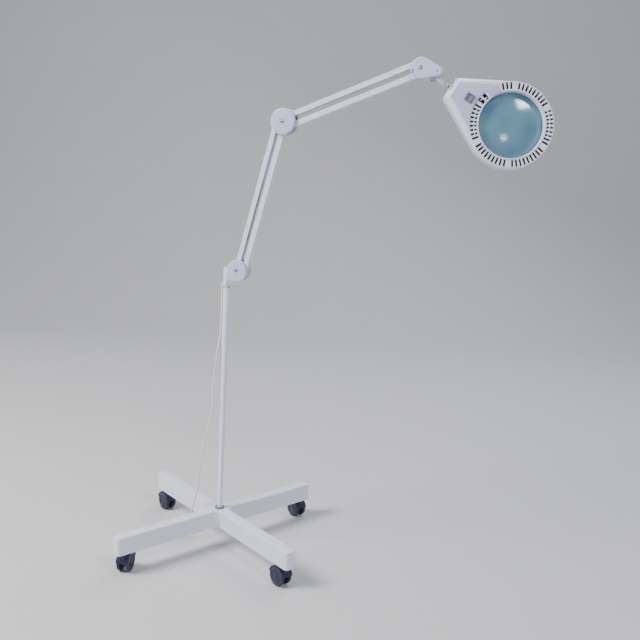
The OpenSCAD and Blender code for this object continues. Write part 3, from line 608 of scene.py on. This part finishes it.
def hood_mesh():
    """Canopy over both wheels, web between them and the boss for the stem."""
    bm = bmesh.new()
    steps = 28
    start, end = 11, 169
    section = []
    for p in rounded_box(HOOD_HALF, (CANOPY_OUT - CANOPY_IN) / 2, 0.7, 3):
        section.append((p.x, p.y + (CANOPY_IN + CANOPY_OUT) / 2))
    rings = []
    for k in range(steps + 1):
        a = math.radians(start + (end - start) * k / steps)
        rings.append([bm.verts.new((TRAIL + r * math.cos(a), y, min(WHEEL_R + r * math.sin(a), HOOD_TOP)))
                      for y, r in section])
    for a, b in zip(rings, rings[1:]):
        bridge(bm, a, b)
    bm.faces.new(list(reversed(rings[0])))
    bm.faces.new(rings[-1])
    first = len(bm.verts)
    back = TRAIL + 16
    front = -8
    web = arc((TRAIL, WHEEL_R), 12, 180, 360, 24)
    web += [Vector(p) for p in ((back, 34), (back - 7, 42), (front + 3, 43), (front, 38), (front, 30))]
    prism(bm, web, [(-WEB_HALF, 0.6), (-WEB_HALF + 0.6, 0), (WEB_HALF - 0.6, 0), (WEB_HALF, 0.6)])
    moved(bm, turn(90, "X"), first)
    first = len(bm.verts)
    bore = 4.1
    revolve(bm, [(bore, 30), (7.2, 30), (8, 31), (8, 43.4), (7.4, HOOD_TOP), (bore, HOOD_TOP)], 40,
            closed=True)
    return mesh_from("hood", bm)


def wheels_mesh():
    """Two dished wheels with five ribs each, on one axle."""
    bm = bmesh.new()
    inner = WEB_HALF + 0.3
    outer = inner + WHEEL_W
    tread = 1.4
    for side in (-1, 1):
        first = len(bm.verts)
        revolve(bm, [(3.0, inner), (WHEEL_R - tread, inner),
                     (WHEEL_R - 0.4, inner + 0.5), (WHEEL_R, inner + tread),
                     (WHEEL_R, outer - tread), (WHEEL_R - 0.4, outer - 0.5), (WHEEL_R - tread, outer),
                     (15.2, outer), (14.6, outer - 0.5), (14.0, outer - 1.4), (6.6, outer - 1.5),
                     (6.0, outer - 1.2), (5.6, outer - 0.5), (4.6, outer - 0.1), (0, outer)], 64)
        for k in range(RIBS):
            rib = len(bm.verts)
            block(bm, (6.2, -1.1, outer - 1.6), (14.4, 1.1, outer - 0.8), 0.5)
            moved(bm, turn(360 / RIBS * k, "Z"), rib)
        moved(bm, turn(90 * side, "X"), first)
    axle = len(bm.verts)
    revolve(bm, [(0, -inner - 1), (2.9, -inner - 1), (2.9, inner + 1), (0, inner + 1)], 24)
    moved(bm, turn(90, "X"), axle)
    moved(bm, shift(TRAIL, 0, WHEEL_R))
    return mesh_from("wheels", bm)


def casters():
    for name in ("front_left", "front_right", "rear_right", "rear_left"):
        stem = joint_at(name + "_swivel")
        axle = joint_at(name + "_roll")
        place = placed((stem.x, stem.y, 0), (axle.x - stem.x, axle.y - stem.y, 0), (0, 0, 1))
        piece(name + "_caster_hood", hood_mesh(), NAVY, name + "_caster", place,
              [name + "_hood"])
        piece(name + "_twin_wheels", wheels_mesh(), TREAD, name + "_wheelset", place,
              [name + "_wheels"])


# ---------------------------------------------------------------- joint covers

COVER_TOP = 14.5
COVER_WALL = 2.0
CHEEK_IN = 6.8
CHEEK_OUT = 8.8
SCREW_RECESS_R = 4.0
SCREW_RECESS = 3.0
SPLIT = 0.05
# Front covers are drawn in the XZ plane: local x and y lie on the frame's X and Z, local z looks out at -Y
FRONT = Matrix(((1, 0, 0, 0), (0, 0, -1, 0), (0, 1, 0, 0), (0, 0, 0, 1)))
REAR = Matrix.Scale(-1, 4, (0, 1, 0))


def sector(radius, start, end, steps=12):
    return [Vector((0, 0))] + arc((0, 0), radius, start, end, steps)


def cover_mesh(outline, edge, arm_sides, holes=(), cuts=()):
    """Half cover of a joint: rounded face, skirt to the middle plane, gaps where bars come out.

    holes are (x, y, radius, depth) and cuts are boxes (low, high).
    """
    bm = bmesh.new()
    levels = [(CHEEK_OUT + 0.1, COVER_WALL), (SPLIT, COVER_WALL), (SPLIT, 0.3), (SPLIT + 0.3, 0.0)]
    levels += quarter(COVER_TOP - edge, COVER_TOP, edge, 7)
    levels += [(COVER_TOP, edge + 0.6)]
    prism(bm, outline, levels)
    body = mesh_from("cover", bm)
    bm = bmesh.new()
    for start, end in arm_sides:
        wedge = sector(60, start, end)
        stack(bm, [(wedge, -1), (wedge, CHEEK_IN)])
    cutter = mesh_from("arms", bm)
    body = minus(body, cutter) if arm_sides else body
    floor = COVER_TOP - SCREW_RECESS
    above = COVER_TOP + 1
    bm = bmesh.new()
    revolve(bm, [(0, floor), (SCREW_RECESS_R - 0.2, floor),
                 (SCREW_RECESS_R, floor + 0.3), (SCREW_RECESS_R, COVER_TOP - 0.8),
                 (SCREW_RECESS_R + 0.6, COVER_TOP - 0.1), (SCREW_RECESS_R + 1.4, above), (0, above)], 48)
    body = minus(body, mesh_from("recess", bm))
    for x, y, radius, depth in holes:
        bm = bmesh.new()
        revolve(bm, [(0, COVER_TOP - depth), (radius, COVER_TOP - depth), (radius, above), (0, above)], 24)
        moved(bm, shift(x, y, 0))
        body = minus(body, mesh_from("hole", bm))
    for low, high in cuts:
        bm = bmesh.new()
        block(bm, low, high)
        body = minus(body, mesh_from("cut", bm))
    return body


def both_covers(joint, outline, edge, arm_sides, centre, body, holes=(), cuts=()):
    """Front and rear covers round a centre screw."""
    place = Matrix.Translation(centre) @ FRONT
    piece(joint + "_cover_front", cover_mesh(outline, edge, arm_sides, holes, cuts), PLASTIC, body, place,
          [joint + "_front_cover"])
    back = cover_mesh(outline, edge, arm_sides, holes, cuts)
    back.flip_normals()
    piece(joint + "_cover_rear", back, PLASTIC, body, REAR @ place, [joint + "_rear_cover"])


def cover_screws(joint, centre, body):
    """Two centre screws with a cross recess."""
    bm = bmesh.new()
    top = COVER_TOP - SCREW_RECESS + 1.7
    thread = 1.65
    revolve(bm, [(0, CHEEK_IN + 0.3), (thread, CHEEK_IN + 0.3), (thread, top - 1.6),
                 (2.9, top - 1.6), (3.0, top - 1.4), (2.9, top - 0.5), (2.3, top - 0.1), (0, top)], 32)
    head = mesh_from("screw", bm)
    bm = bmesh.new()
    block(bm, (-1.9, -0.35, top - 1.1), (1.9, 0.35, top + 1))
    head = minus(head, mesh_from("slot", bm))
    bm = bmesh.new()
    block(bm, (-0.35, -1.9, top - 1.1), (0.35, 1.9, top + 1))
    head = minus(head, mesh_from("slot", bm))
    bm = bmesh.new()
    bm.from_mesh(head)
    moved(bm, FRONT)
    first = len(bm.verts)
    bm.from_mesh(head)
    moved(bm, REAR @ FRONT, first)
    piece(joint + "_cover_screws", mesh_from("screws", bm), STEEL, body, Matrix.Translation(centre),
          [joint + "_screws"])


def box_centre(node):
    low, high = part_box(node)
    return (low + high) / 2 / MM


SHOULDER_R = 23.5
SHOULDER_FLAT = 21.6
SHOULDER_LOW = 23
ELBOW_R = 27
TIP_R = 20.5
NOSE = Vector((32.5, -5))
NOSE_R = 9.5


def shoulder_outline():
    """Disc with a flat side and a square lower corner next to the pole."""
    foot = math.degrees(math.asin(SHOULDER_LOW / SHOULDER_R))
    brow = math.degrees(math.acos(SHOULDER_FLAT / SHOULDER_R))
    corner = Vector((-SHOULDER_FLAT, -SHOULDER_LOW))
    return arc((0, 0), SHOULDER_R, foot - 180 + 24, 180 - brow, 72) + [corner]


def tip_outline():
    upper = tangent_angle(NOSE, TIP_R, NOSE_R, 1)
    lower = tangent_angle(NOSE, TIP_R, NOSE_R, -1)
    return arc((0, 0), TIP_R, upper, 360 + lower, 48) + arc(NOSE, NOSE_R, lower, upper, 24)


def covers():
    centre = box_centre("shoulder_screws")
    barrel_gap = ((-24, -25, -1), (-17.6, 4.3, CHEEK_OUT + 0.1))
    both_covers("shoulder", shoulder_outline(), 2.6, [[-60, 128]], centre, "shoulder",
                cuts=[barrel_gap])
    cover_screws("shoulder", centre, "shoulder")
    centre = box_centre("elbow_screws")
    both_covers("elbow", circle(ELBOW_R, 96), 3.5, [[164, 440]], centre, "elbow")
    cover_screws("elbow", centre, "elbow")
    centre = box_centre("tip_screws")
    slit = ((-16, -10.5, 11), (-13.6, -1.5, COVER_TOP + 1))
    both_covers("tip", tip_outline(), 3.0, [[106, 274]], centre, "tip",
                [(NOSE.x, NOSE.y, 1.6, 3)], [slit])
    cover_screws("tip", centre, "tip")


# ---------------------------------------------------------------- arms

def spring_mesh(length, radius=3.75, wire=0.55):
    """Closed coil spring along +X with a hook at each end."""
    bm = bmesh.new()
    coil_r = radius * 0.86
    turns = int(length / (2.3 * wire))
    steps = turns * 12
    path = []
    for k in range(steps + 1):
        a = 2 * math.pi * k / 12
        path.append(Vector((length * k / steps, coil_r * math.cos(a), coil_r * math.sin(a))))
    sweep(bm, path, wire, 6)
    for x, way in ((0, -1), (length, 1)):
        hook = [Vector((x, 0, 3.2)), Vector((x + way * 0.8, 0, 2.2))]
        for k in range(13):
            a = math.radians(150 - 25 * k)
            hook.append(Vector((x + way * (2.4 + 2.4 * -math.cos(a) - 0.4), 0, 2.4 * math.sin(a))))
        sweep(bm, hook, wire, 8)
    return mesh_from("spring", bm)


def arm_frame(root_joint, far_joint):
    """Root of an arm, the direction along its bars and the direction out of its upper side."""
    root = joint_at(root_joint)
    along = (joint_at(far_joint) - root).normalized()
    return root, along, along.cross(Vector((0, 1, 0)))


def arms():
    for bar in ("lower_main_bar", "lower_second_bar", "upper_main_bar", "upper_second_bar"):
        keep_cad(bar, POWDER, 0.55)
    for part, root, far, length in (("lower", "lower_arm_lift", "elbow_level", 130),
                                    ("upper", "upper_arm_lift", "tip_level", 120)):
        at, along, up = arm_frame(root, far)
        place = placed(at, along, up)
        offset = box_centre(part + "_spring") - at
        place = place @ shift(offset.dot(along) - length / 2, 0, offset.dot(up))
        piece(part + "_coil", spring_mesh(length), BRIGHT, part + "_main", place,
              [part + "_spring"])
    for node in ("lower_wire", "upper_wire"):
        keep_cad(node, SHEATH, 0.3)
    keep_cad("pole_bracket", POWDER, 0.8)
    for node in ("shoulder_pins", "elbow_plates", "elbow_pins", "tip_bracket", "tip_pins", "pan_bolt",
                 "tilt_screw", "neck_joint"):
        keep_cad(node, STEEL, 0.3)
    keep_cad("yoke", POWDER, 0.35)


# ---------------------------------------------------------------- head

# Plan and levels of the head, in its own frame
HEAD_R = 84
NECK_LEN = 138
NECK_HALF = 26
CORNER_R = 10
REACH = 149
SHELL_LOW = -20
COVER_HIGH = 14
SKIN = 2.2
LENS_R = 63.5
LENS_MID = -2
CLEAR_R = 62.4
TUBE_IN = 63.8
TUBE_OUT = 65.8
WINDOW_IN = 66.6
WINDOW_OUT = 79.5
BUSH_HOLE = 8.05
# Vents, the ribbed tab, the clip and the switch
SLOT_IN = 66.6
SLOT_OUT = 80.0
SLOT_W = 4.1
SLOT_STEP = 6
SLOT_GAPS = (55.5, 115.5, 175.5, 235.5, 295.5, 355.5)
TAB_ANGLE = -29.5
CLIP_ANGLE = -10.5
SWITCH_X = 95
SWITCH_SIDE = 17
SWITCH_HOLE = 14
ROCKER_TURN = 8


def head_place():
    """The head's frame: origin at the lens centre, +X towards the neck, +Z out of the switch side."""
    neck = joint_axis("head_roll")
    across = -joint_axis("switch_press")
    origin = joint_at("head_roll") + neck * REACH
    return placed(origin, -neck, (-neck).cross(across))


def head_loop(round_in, neck_in):
    """Plan of the head: the round part and the neck part drawn smaller by different amounts."""
    r0 = HEAD_R - round_in
    r1 = max(CORNER_R - neck_in, 1.5)
    end = NECK_LEN - neck_in
    half = NECK_HALF - neck_in
    corner = Vector((end - r1, half - r1))
    a = tangent_angle(corner, r0, r1, 1)
    points = arc((0, 0), r0, a, 360 - a, 96)
    points += arc((corner.x, -corner.y), r1, -a, 0, 8)
    points += arc(corner, r1, 0, a, 8)
    return points


def neck_drill(bm, profile):
    """Adds a cutter turned about the neck's axis. profile is (radius, distance from the neck's end)."""
    first = len(bm.verts)
    revolve(bm, profile, 40)
    moved(bm, shift(NECK_LEN, 0, 0) @ turn(90, "Y"), first)


def lower_shell(place):
    """Pan with a rounded edge, the window for the light and the tube round the lens."""
    bm = bmesh.new()
    edge = 5.0
    levels = [(0.0, 2.2), (0.0, 0.4), (-0.5, 0.0), (SHELL_LOW + edge, 0.0)]
    for k in range(1, 8):
        a = math.pi / 2 * k / 7
        levels.append((SHELL_LOW + edge * (1 - math.sin(a)), edge * (1 - math.cos(a))))
    outlines = [(head_loop(SKIN, SKIN), SHELL_LOW + SKIN + 1)] + [(head_loop(i, i), z) for z, i in levels]
    stack(bm, outlines)
    body = mesh_from("shell", bm)
    bm = bmesh.new()
    revolve(bm, [(0, SHELL_LOW - 1), (WINDOW_OUT, SHELL_LOW - 1),
                 (WINDOW_OUT, SHELL_LOW + 5), (0, SHELL_LOW + 5)], 128)
    neck_drill(bm, [(0, -6), (BUSH_HOLE, -6), (BUSH_HOLE, 10), (0, 10)])
    body = minus(body, mesh_from("window", bm))
    bm = bmesh.new()
    bm.from_mesh(body)
    revolve(bm, [(TUBE_IN, SHELL_LOW + 0.4), (TUBE_IN + 0.4, SHELL_LOW),
                 (TUBE_OUT - 0.4, SHELL_LOW), (TUBE_OUT, SHELL_LOW + 0.4), (TUBE_OUT, 1.0), (TUBE_IN, 1.0),
                 (TUBE_IN, -4.4), (CLEAR_R, -4.4), (CLEAR_R, -5.8), (CLEAR_R + 0.4, -6.2),
                 (TUBE_IN, -6.2)], 128, closed=True)
    for angle in SLOT_GAPS:
        first = len(bm.verts)
        block(bm, (TUBE_OUT - 0.5, -2, -17.2), (80, 2, -13.2), 0.5)
        moved(bm, turn(angle, "Z"), first)
    piece("head_shell", mesh_from("head_shell", bm), PLASTIC, "head", place,
          ["head_lower_shell"])


def slot_free(angle):
    """True when a vent slot may stand at this angle."""
    def apart(a, b):
        return abs((a - b + 540) % 360 - 180)
    return (all(apart(angle, g) > 2 for g in SLOT_GAPS) and apart(angle, TAB_ANGLE) > 10.5
            and apart(angle, CLIP_ANGLE) > 8)


def cover_cutter():
    """Everything taken out of the upper cover: the lens opening, the vents, the clip and switch holes."""
    bm = bmesh.new()
    revolve(bm, [(0, -3), (65.6, -3), (65.6, COVER_HIGH + 9), (0, COVER_HIGH + 9)], 128)
    for k in range(60):
        angle = SLOT_STEP * (k + 0.5)
        if slot_free(angle):
            first = len(bm.verts)
            block(bm, (SLOT_IN, -SLOT_W / 2, 8), (SLOT_OUT, SLOT_W / 2, COVER_HIGH + 5), 0.6)
            moved(bm, turn(angle, "Z"), first)
    for offset in (-4.2, 4.2):
        first = len(bm.verts)
        block(bm, (SLOT_IN, -3.6, 8), (SLOT_OUT - 1, 3.6, COVER_HIGH + 5), 0.6)
        moved(bm, turn(CLIP_ANGLE + offset, "Z"), first)
    half = SWITCH_HOLE / 2
    block(bm, (SWITCH_X - half, -half, 5), (SWITCH_X + half, half, COVER_HIGH + 9))
    neck_drill(bm, [(0, -12), (9.8, -12), (9.8, -2.3), (BUSH_HOLE, -2.3), (BUSH_HOLE, 10), (0, 10)])
    return mesh_from("cutter", bm)


def upper_cover(place):
    """Cover with a sloping rim, a flat ring with vents and a raised panel over the neck."""
    bm = bmesh.new()
    inner_top = COVER_HIGH - SKIN
    # Height, and how far the round part and the neck part are drawn in there: inside first, then outside
    steps = [
        (inner_top, 6.0, 10.5), (inner_top - 4, 4.4, 6.5), (0.15, 3.8, 4.0),
        (0.15, 1.0, 1.0), (0.6, 0.6, 0.6), (4.0, 0.8, 1.2), (6.0, 1.1, 2.2), (12.2, 2.3, 7.2),
        (13.3, 2.7, 8.2), (13.8, 3.2, 9.0), (14.0, 3.9, 10.0)
    ]
    stack(bm, [(head_loop(a, b), z) for z, a, b in steps])
    body = minus(mesh_from("cover", bm), cover_cutter())
    bm = bmesh.new()
    levels = [(-0.4, 0), (1.0, 0), (1.4, 0.3), (1.5, 0.9)]
    prism(bm, panel_outline(81.0), [(COVER_HIGH + rise, amount) for rise, amount in levels])
    # The panel's face is hollow-sided, and only cut up into triangles does it survive the hole
    bmesh.ops.triangulate(bm, faces=bm.faces, ngon_method="EAR_CLIP")
    panel = mesh_from("panel", bm)
    bm = bmesh.new()
    half = SWITCH_HOLE / 2
    block(bm, (SWITCH_X - half, -half, 5), (SWITCH_X + half, half, COVER_HIGH + 9))
    panel = minus(panel, mesh_from("switch_hole", bm))
    piece("head_cover", body, RIM, "head", place, ["head_upper_cover"])
    # Painted shade: the panel is part of the same white cover moulding, and its face is given the darker
    # lilac plastic to stand for the shade on it.
    piece("head_panel", panel, PLASTIC, "head", place, ["head_upper_cover"])


def panel_outline(radius):
    """The raised panel: the neck part of the plan, cut by a circle round the lens."""
    r1 = 2.0
    end = NECK_LEN - 10.5
    half = NECK_HALF - 10.5
    corner = Vector((end - r1, half - r1))
    a = tangent_angle(corner, HEAD_R - 10.5, r1, 1)
    distance = HEAD_R - 10.5
    spread = a - math.degrees(math.acos(distance / radius))
    points = arc((0, 0), radius, spread, -spread, 40)
    points += arc((corner.x, -corner.y), r1, -a, 0, 6)
    points += arc(corner, r1, 0, a, 6)
    return points


def lens_rim(place):
    """White rim round the lens with the clip and the ribs across the vents, and its ribbed tab."""
    bm = bmesh.new()
    top = COVER_HIGH + 1.0
    revolve(bm, [(65.4, 1.2), (65.4, top - 0.8), (65.0, top - 0.2), (64.5, top), (63.7, top - 0.5),
                 (62.8, 8.0), (CLEAR_R, 1.6), (CLEAR_R + 0.3, 1.2)], 128, closed=True)
    for start, end in ((8, 50), (190, 236)):
        ring_part(bm, 71.6, 73.4, COVER_HIGH - 3.0, COVER_HIGH - 0.6, start, end)
    first = len(bm.verts)
    block(bm, (66.5, -1.0, COVER_HIGH - 2.5), (77.6, 1.0, COVER_HIGH + 0.4), 0.4)
    block(bm, (69.0, -6.0, COVER_HIGH - 2.5), (71.2, -1.0, COVER_HIGH), 0.4)
    block(bm, (74.0, 1.0, COVER_HIGH - 2.5), (76.0, 6.0, COVER_HIGH), 0.4)
    moved(bm, turn(CLIP_ANGLE, "Z"), first)
    piece("lens_rim", mesh_from("lens_rim", bm), RIM, "head", place, ["lens_ring"])
    bm = bmesh.new()
    tab = rounded_box(8.5, 11.5, 1.4, 4)
    prism(bm, tab, [(top - 1.6, 0), (top + 0.6, 0), (top + 1.0, 0.4)])
    for k in range(-3, 4):
        block(bm, (-6.6, k * 3.0 - 0.6, top + 0.8), (6.6, k * 3.0 + 0.6, top + 1.6), 0.4)
    moved(bm, turn(TAB_ANGLE, "Z") @ shift(72.5, 0, 0))
    piece("lens_tab", mesh_from("lens_tab", bm), PLASTIC, "head", place, ["lens_ring"])


def ring_part(bm, r_in, r_out, low, high, start, end):
    """Curved bar: the part of a flat ring between two angles."""
    outline = arc((0, 0), r_out, start, end, 24) + arc((0, 0), r_in, end, start, 24)
    stack(bm, [(outline, low), (outline, high)])


def lens_piece(place):
    """Biconvex lens."""
    face_r = 208
    half_edge = 1.5
    rise = face_r - math.sqrt(face_r ** 2 - (LENS_R - 0.3) ** 2)
    profile = []
    count = 24
    for k in range(count + 1):
        r = (LENS_R - 0.3) * k / count
        profile.append((r, half_edge + rise - (face_r - math.sqrt(face_r ** 2 - r * r))))
    lower = [(r, -z) for r, z in reversed(profile)]
    rim = [(LENS_R, half_edge - 0.3), (LENS_R, -half_edge + 0.3)]
    bm = bmesh.new()
    revolve(bm, profile + rim + lower, 128)
    moved(bm, shift(0, 0, LENS_MID))
    piece("magnifying_lens", mesh_from("magnifying_lens", bm), GLASS, "head", place,
          ["lens"], crease=50)


def switch(place):
    """Square frame in the raised panel and the rocker in it, dished for a finger."""
    bm = bmesh.new()
    base = COVER_HIGH + 1.6
    outer = rounded_box(SWITCH_SIDE / 2, SWITCH_SIDE / 2, 1.2, 4)
    inner = rounded_box(5.8, 5.8, 0.5, 4)
    rings = [(outer, base), (outer, base + 0.9), (inset(outer, 0.4), base + 1.4),
             (inner, base + 1.2), (inner, 9.0)]
    stack(bm, rings, cap_first=False)
    under = rounded_box(6.9, 6.9, 0.5, 4)
    stack(bm, [(outer, base), (under, base), (under, 3.0)], cap_first=False)
    at = place @ shift(SWITCH_X, 0, 0)
    piece("switch_frame", mesh_from("switch_frame", bm), GREY, "head", at,
          ["switch_body"])
    bm = bmesh.new()
    side = 5.4
    count = 12
    top = []
    for k in range(count + 1):
        x = -side + 2 * side * k / count
        top.append(Vector((x, 2.2 + 0.9 * (x / side) ** 2)))
    outline = [Vector((-side, -1.5)), Vector((side, -1.5))] + list(reversed(top))
    prism(bm, outline, [(-side, 0.3), (-side + 0.3, 0), (side - 0.3, 0), (side, 0.3)])
    moved(bm, turn(90, "X"))
    first = len(bm.verts)
    revolve(bm, [(0, -6.4), (0.95, -6.4), (0.95, 6.4), (0, 6.4)], 16)
    moved(bm, turn(90, "X"), first)
    at = place @ shift(SWITCH_X, 0, COVER_HIGH - 0.4) @ turn(ROCKER_TURN, "Y")
    piece("switch_paddle", mesh_from("switch_paddle", bm), GREY, "rocker", at,
          ["switch_rocker"])


def diffuser(place):
    """Flat ring over the lights with fine round grooves."""
    bm = bmesh.new()
    low = SHELL_LOW + 0.3
    profile = [(WINDOW_IN, low + 0.3), (WINDOW_IN + 0.3, low)]
    for k in range(9):
        r = 68 + 1.3 * k
        profile += [(r, low), (r + 0.4, low - 0.25), (r + 0.8, low)]
    rim = WINDOW_OUT - 0.4
    top = SHELL_LOW + 2.6
    profile += [(78.9, low), (rim, low + 0.3), (rim, top), (WINDOW_IN, top)]
    revolve(bm, profile, 128, closed=True)
    piece("light_diffuser", mesh_from("light_diffuser", bm), FROST, "head", place,
          ["diffuser_ring"])


def head():
    place = head_place()
    lower_shell(place)
    upper_cover(place)
    lens_rim(place)
    lens_piece(place)
    switch(place)
    diffuser(place)
    keep_cad("led_board", BOARD, 0.2)
    keep_cad("leds", LED, 0.3)
    keep_cad("driver_board", BOARD, 0.2)
    keep_cad("neck_bush", PLASTIC, 0.4)
    keep_cad("head_screws", STEEL, 0.3)


# ---------------------------------------------------------------- studio

def studio():
    """Pale paper on the floor that bends up behind the lamp."""
    g = Graph("studio paper")
    cloud = g.remap(g.noise(6, 3), 0.3, 0.7, 0.0, 0.3)
    g.join(g.mix(cloud, rgb(0.64, 0.64, 0.65), rgb(0.6, 0.6, 0.61)), g.shader.inputs["Base Color"])
    g.join(g.remap(g.noise(40), 0.3, 0.7, 0.75, 0.9), g.shader.inputs["Roughness"])
    g.join(g.bump(g.noise(300, 3), 0.1, 0.0003), g.shader.inputs["Normal"])
    bm = bmesh.new()
    bend = 1.6
    start = 2.2
    section = [Vector((-5.0, 0.0)), Vector((start, 0.0))]
    for k in range(1, 17):
        a = math.pi / 2 * k / 16
        section.append(Vector((start + bend * math.sin(a), bend * (1 - math.cos(a)))))
    section.append(Vector((start + bend, 6.0)))
    rows = [[bm.verts.new((x, p.x, p.y)) for p in section] for x in (-7.0, 7.0)]
    for k in range(len(section) - 1):
        bm.faces.new((rows[0][k], rows[1][k], rows[1][k + 1], rows[0][k + 1]))
    mesh = bpy.data.meshes.new("backdrop")
    bm.to_mesh(mesh)
    bm.free()
    mesh.shade_smooth()
    mesh.materials.append(g.material)
    paper = bpy.data.objects.new("backdrop", mesh)
    paper.rotation_euler = (0, 0, math.radians(18))
    bpy.context.scene.collection.objects.link(paper)


def soft_light(name, place, target, size, watts, colour):
    """Rectangular lamp at a place, turned towards its target."""
    data = bpy.data.lights.new(name, "AREA")
    data.shape = "RECTANGLE"
    data.size, data.size_y = size
    data.energy = watts
    data.color = colour
    obj = bpy.data.objects.new(name, data)
    obj.location = place
    obj.rotation_mode = "QUATERNION"
    obj.rotation_quaternion = (Vector(target) - Vector(place)).to_track_quat("-Z", "Y")
    bpy.context.scene.collection.objects.link(obj)


def lights():
    soft_light("key", (-1.6, -1.5, 2.4), (0.1, 0, 0.55), (1.2, 1.2), 125, (1.0, 0.99, 0.97))
    soft_light("high", (2.07, -1.14, 2.58), (0.4, 0, 0.8), (0.6, 0.42), 26, (0.97, 0.98, 1.0))
    soft_light("low", (1.75, -2.6, 1.1), (0.3, 0, 0.6), (0.3, 0.3), 5, (0.85, 0.95, 1.0))
    soft_light("back", (0.6, 2.4, 2.6), (0.2, 0, 0.7), (2.2, 1.2), 40, (0.95, 0.97, 1.0))
    world = bpy.data.worlds.new("studio")
    world.use_nodes = True
    world.node_tree.nodes["Background"].inputs["Color"].default_value = rgb(0.74, 0.77, 0.86)
    world.node_tree.nodes["Background"].inputs["Strength"].default_value = 0.42
    bpy.context.scene.world = world


# Camera: place, heading from +Y, tilt above level and lean, all solved for the view asked for
CAMERA_AT = (0.7339, -1.5712, 0.8759)
CAMERA_HEADING = -18.2
CAMERA_TILT = -11.1
CAMERA_LEAN = 3.2
CAMERA_LENS = 45.0


def camera():
    yaw, pitch, lean = (math.radians(v) for v in (CAMERA_HEADING, CAMERA_TILT, CAMERA_LEAN))
    ahead = Vector((math.sin(yaw) * math.cos(pitch), math.cos(yaw) * math.cos(pitch), math.sin(pitch)))
    level = Vector((math.cos(yaw), -math.sin(yaw), 0))
    upright = level.cross(ahead)
    right = level * math.cos(lean) + upright * math.sin(lean)
    up = upright * math.cos(lean) - level * math.sin(lean)
    data = bpy.data.cameras.new("camera")
    data.lens = CAMERA_LENS
    data.sensor_width = 36
    obj = bpy.data.objects.new("camera", data)
    matrix = Matrix((right, up, -ahead)).transposed().to_4x4()
    matrix.translation = Vector(CAMERA_AT)
    obj.matrix_world = matrix
    bpy.context.scene.collection.objects.link(obj)
    bpy.context.scene.camera = obj


stand()
cable()
plug()
casters()
covers()
arms()
head()
studio()
lights()
camera()
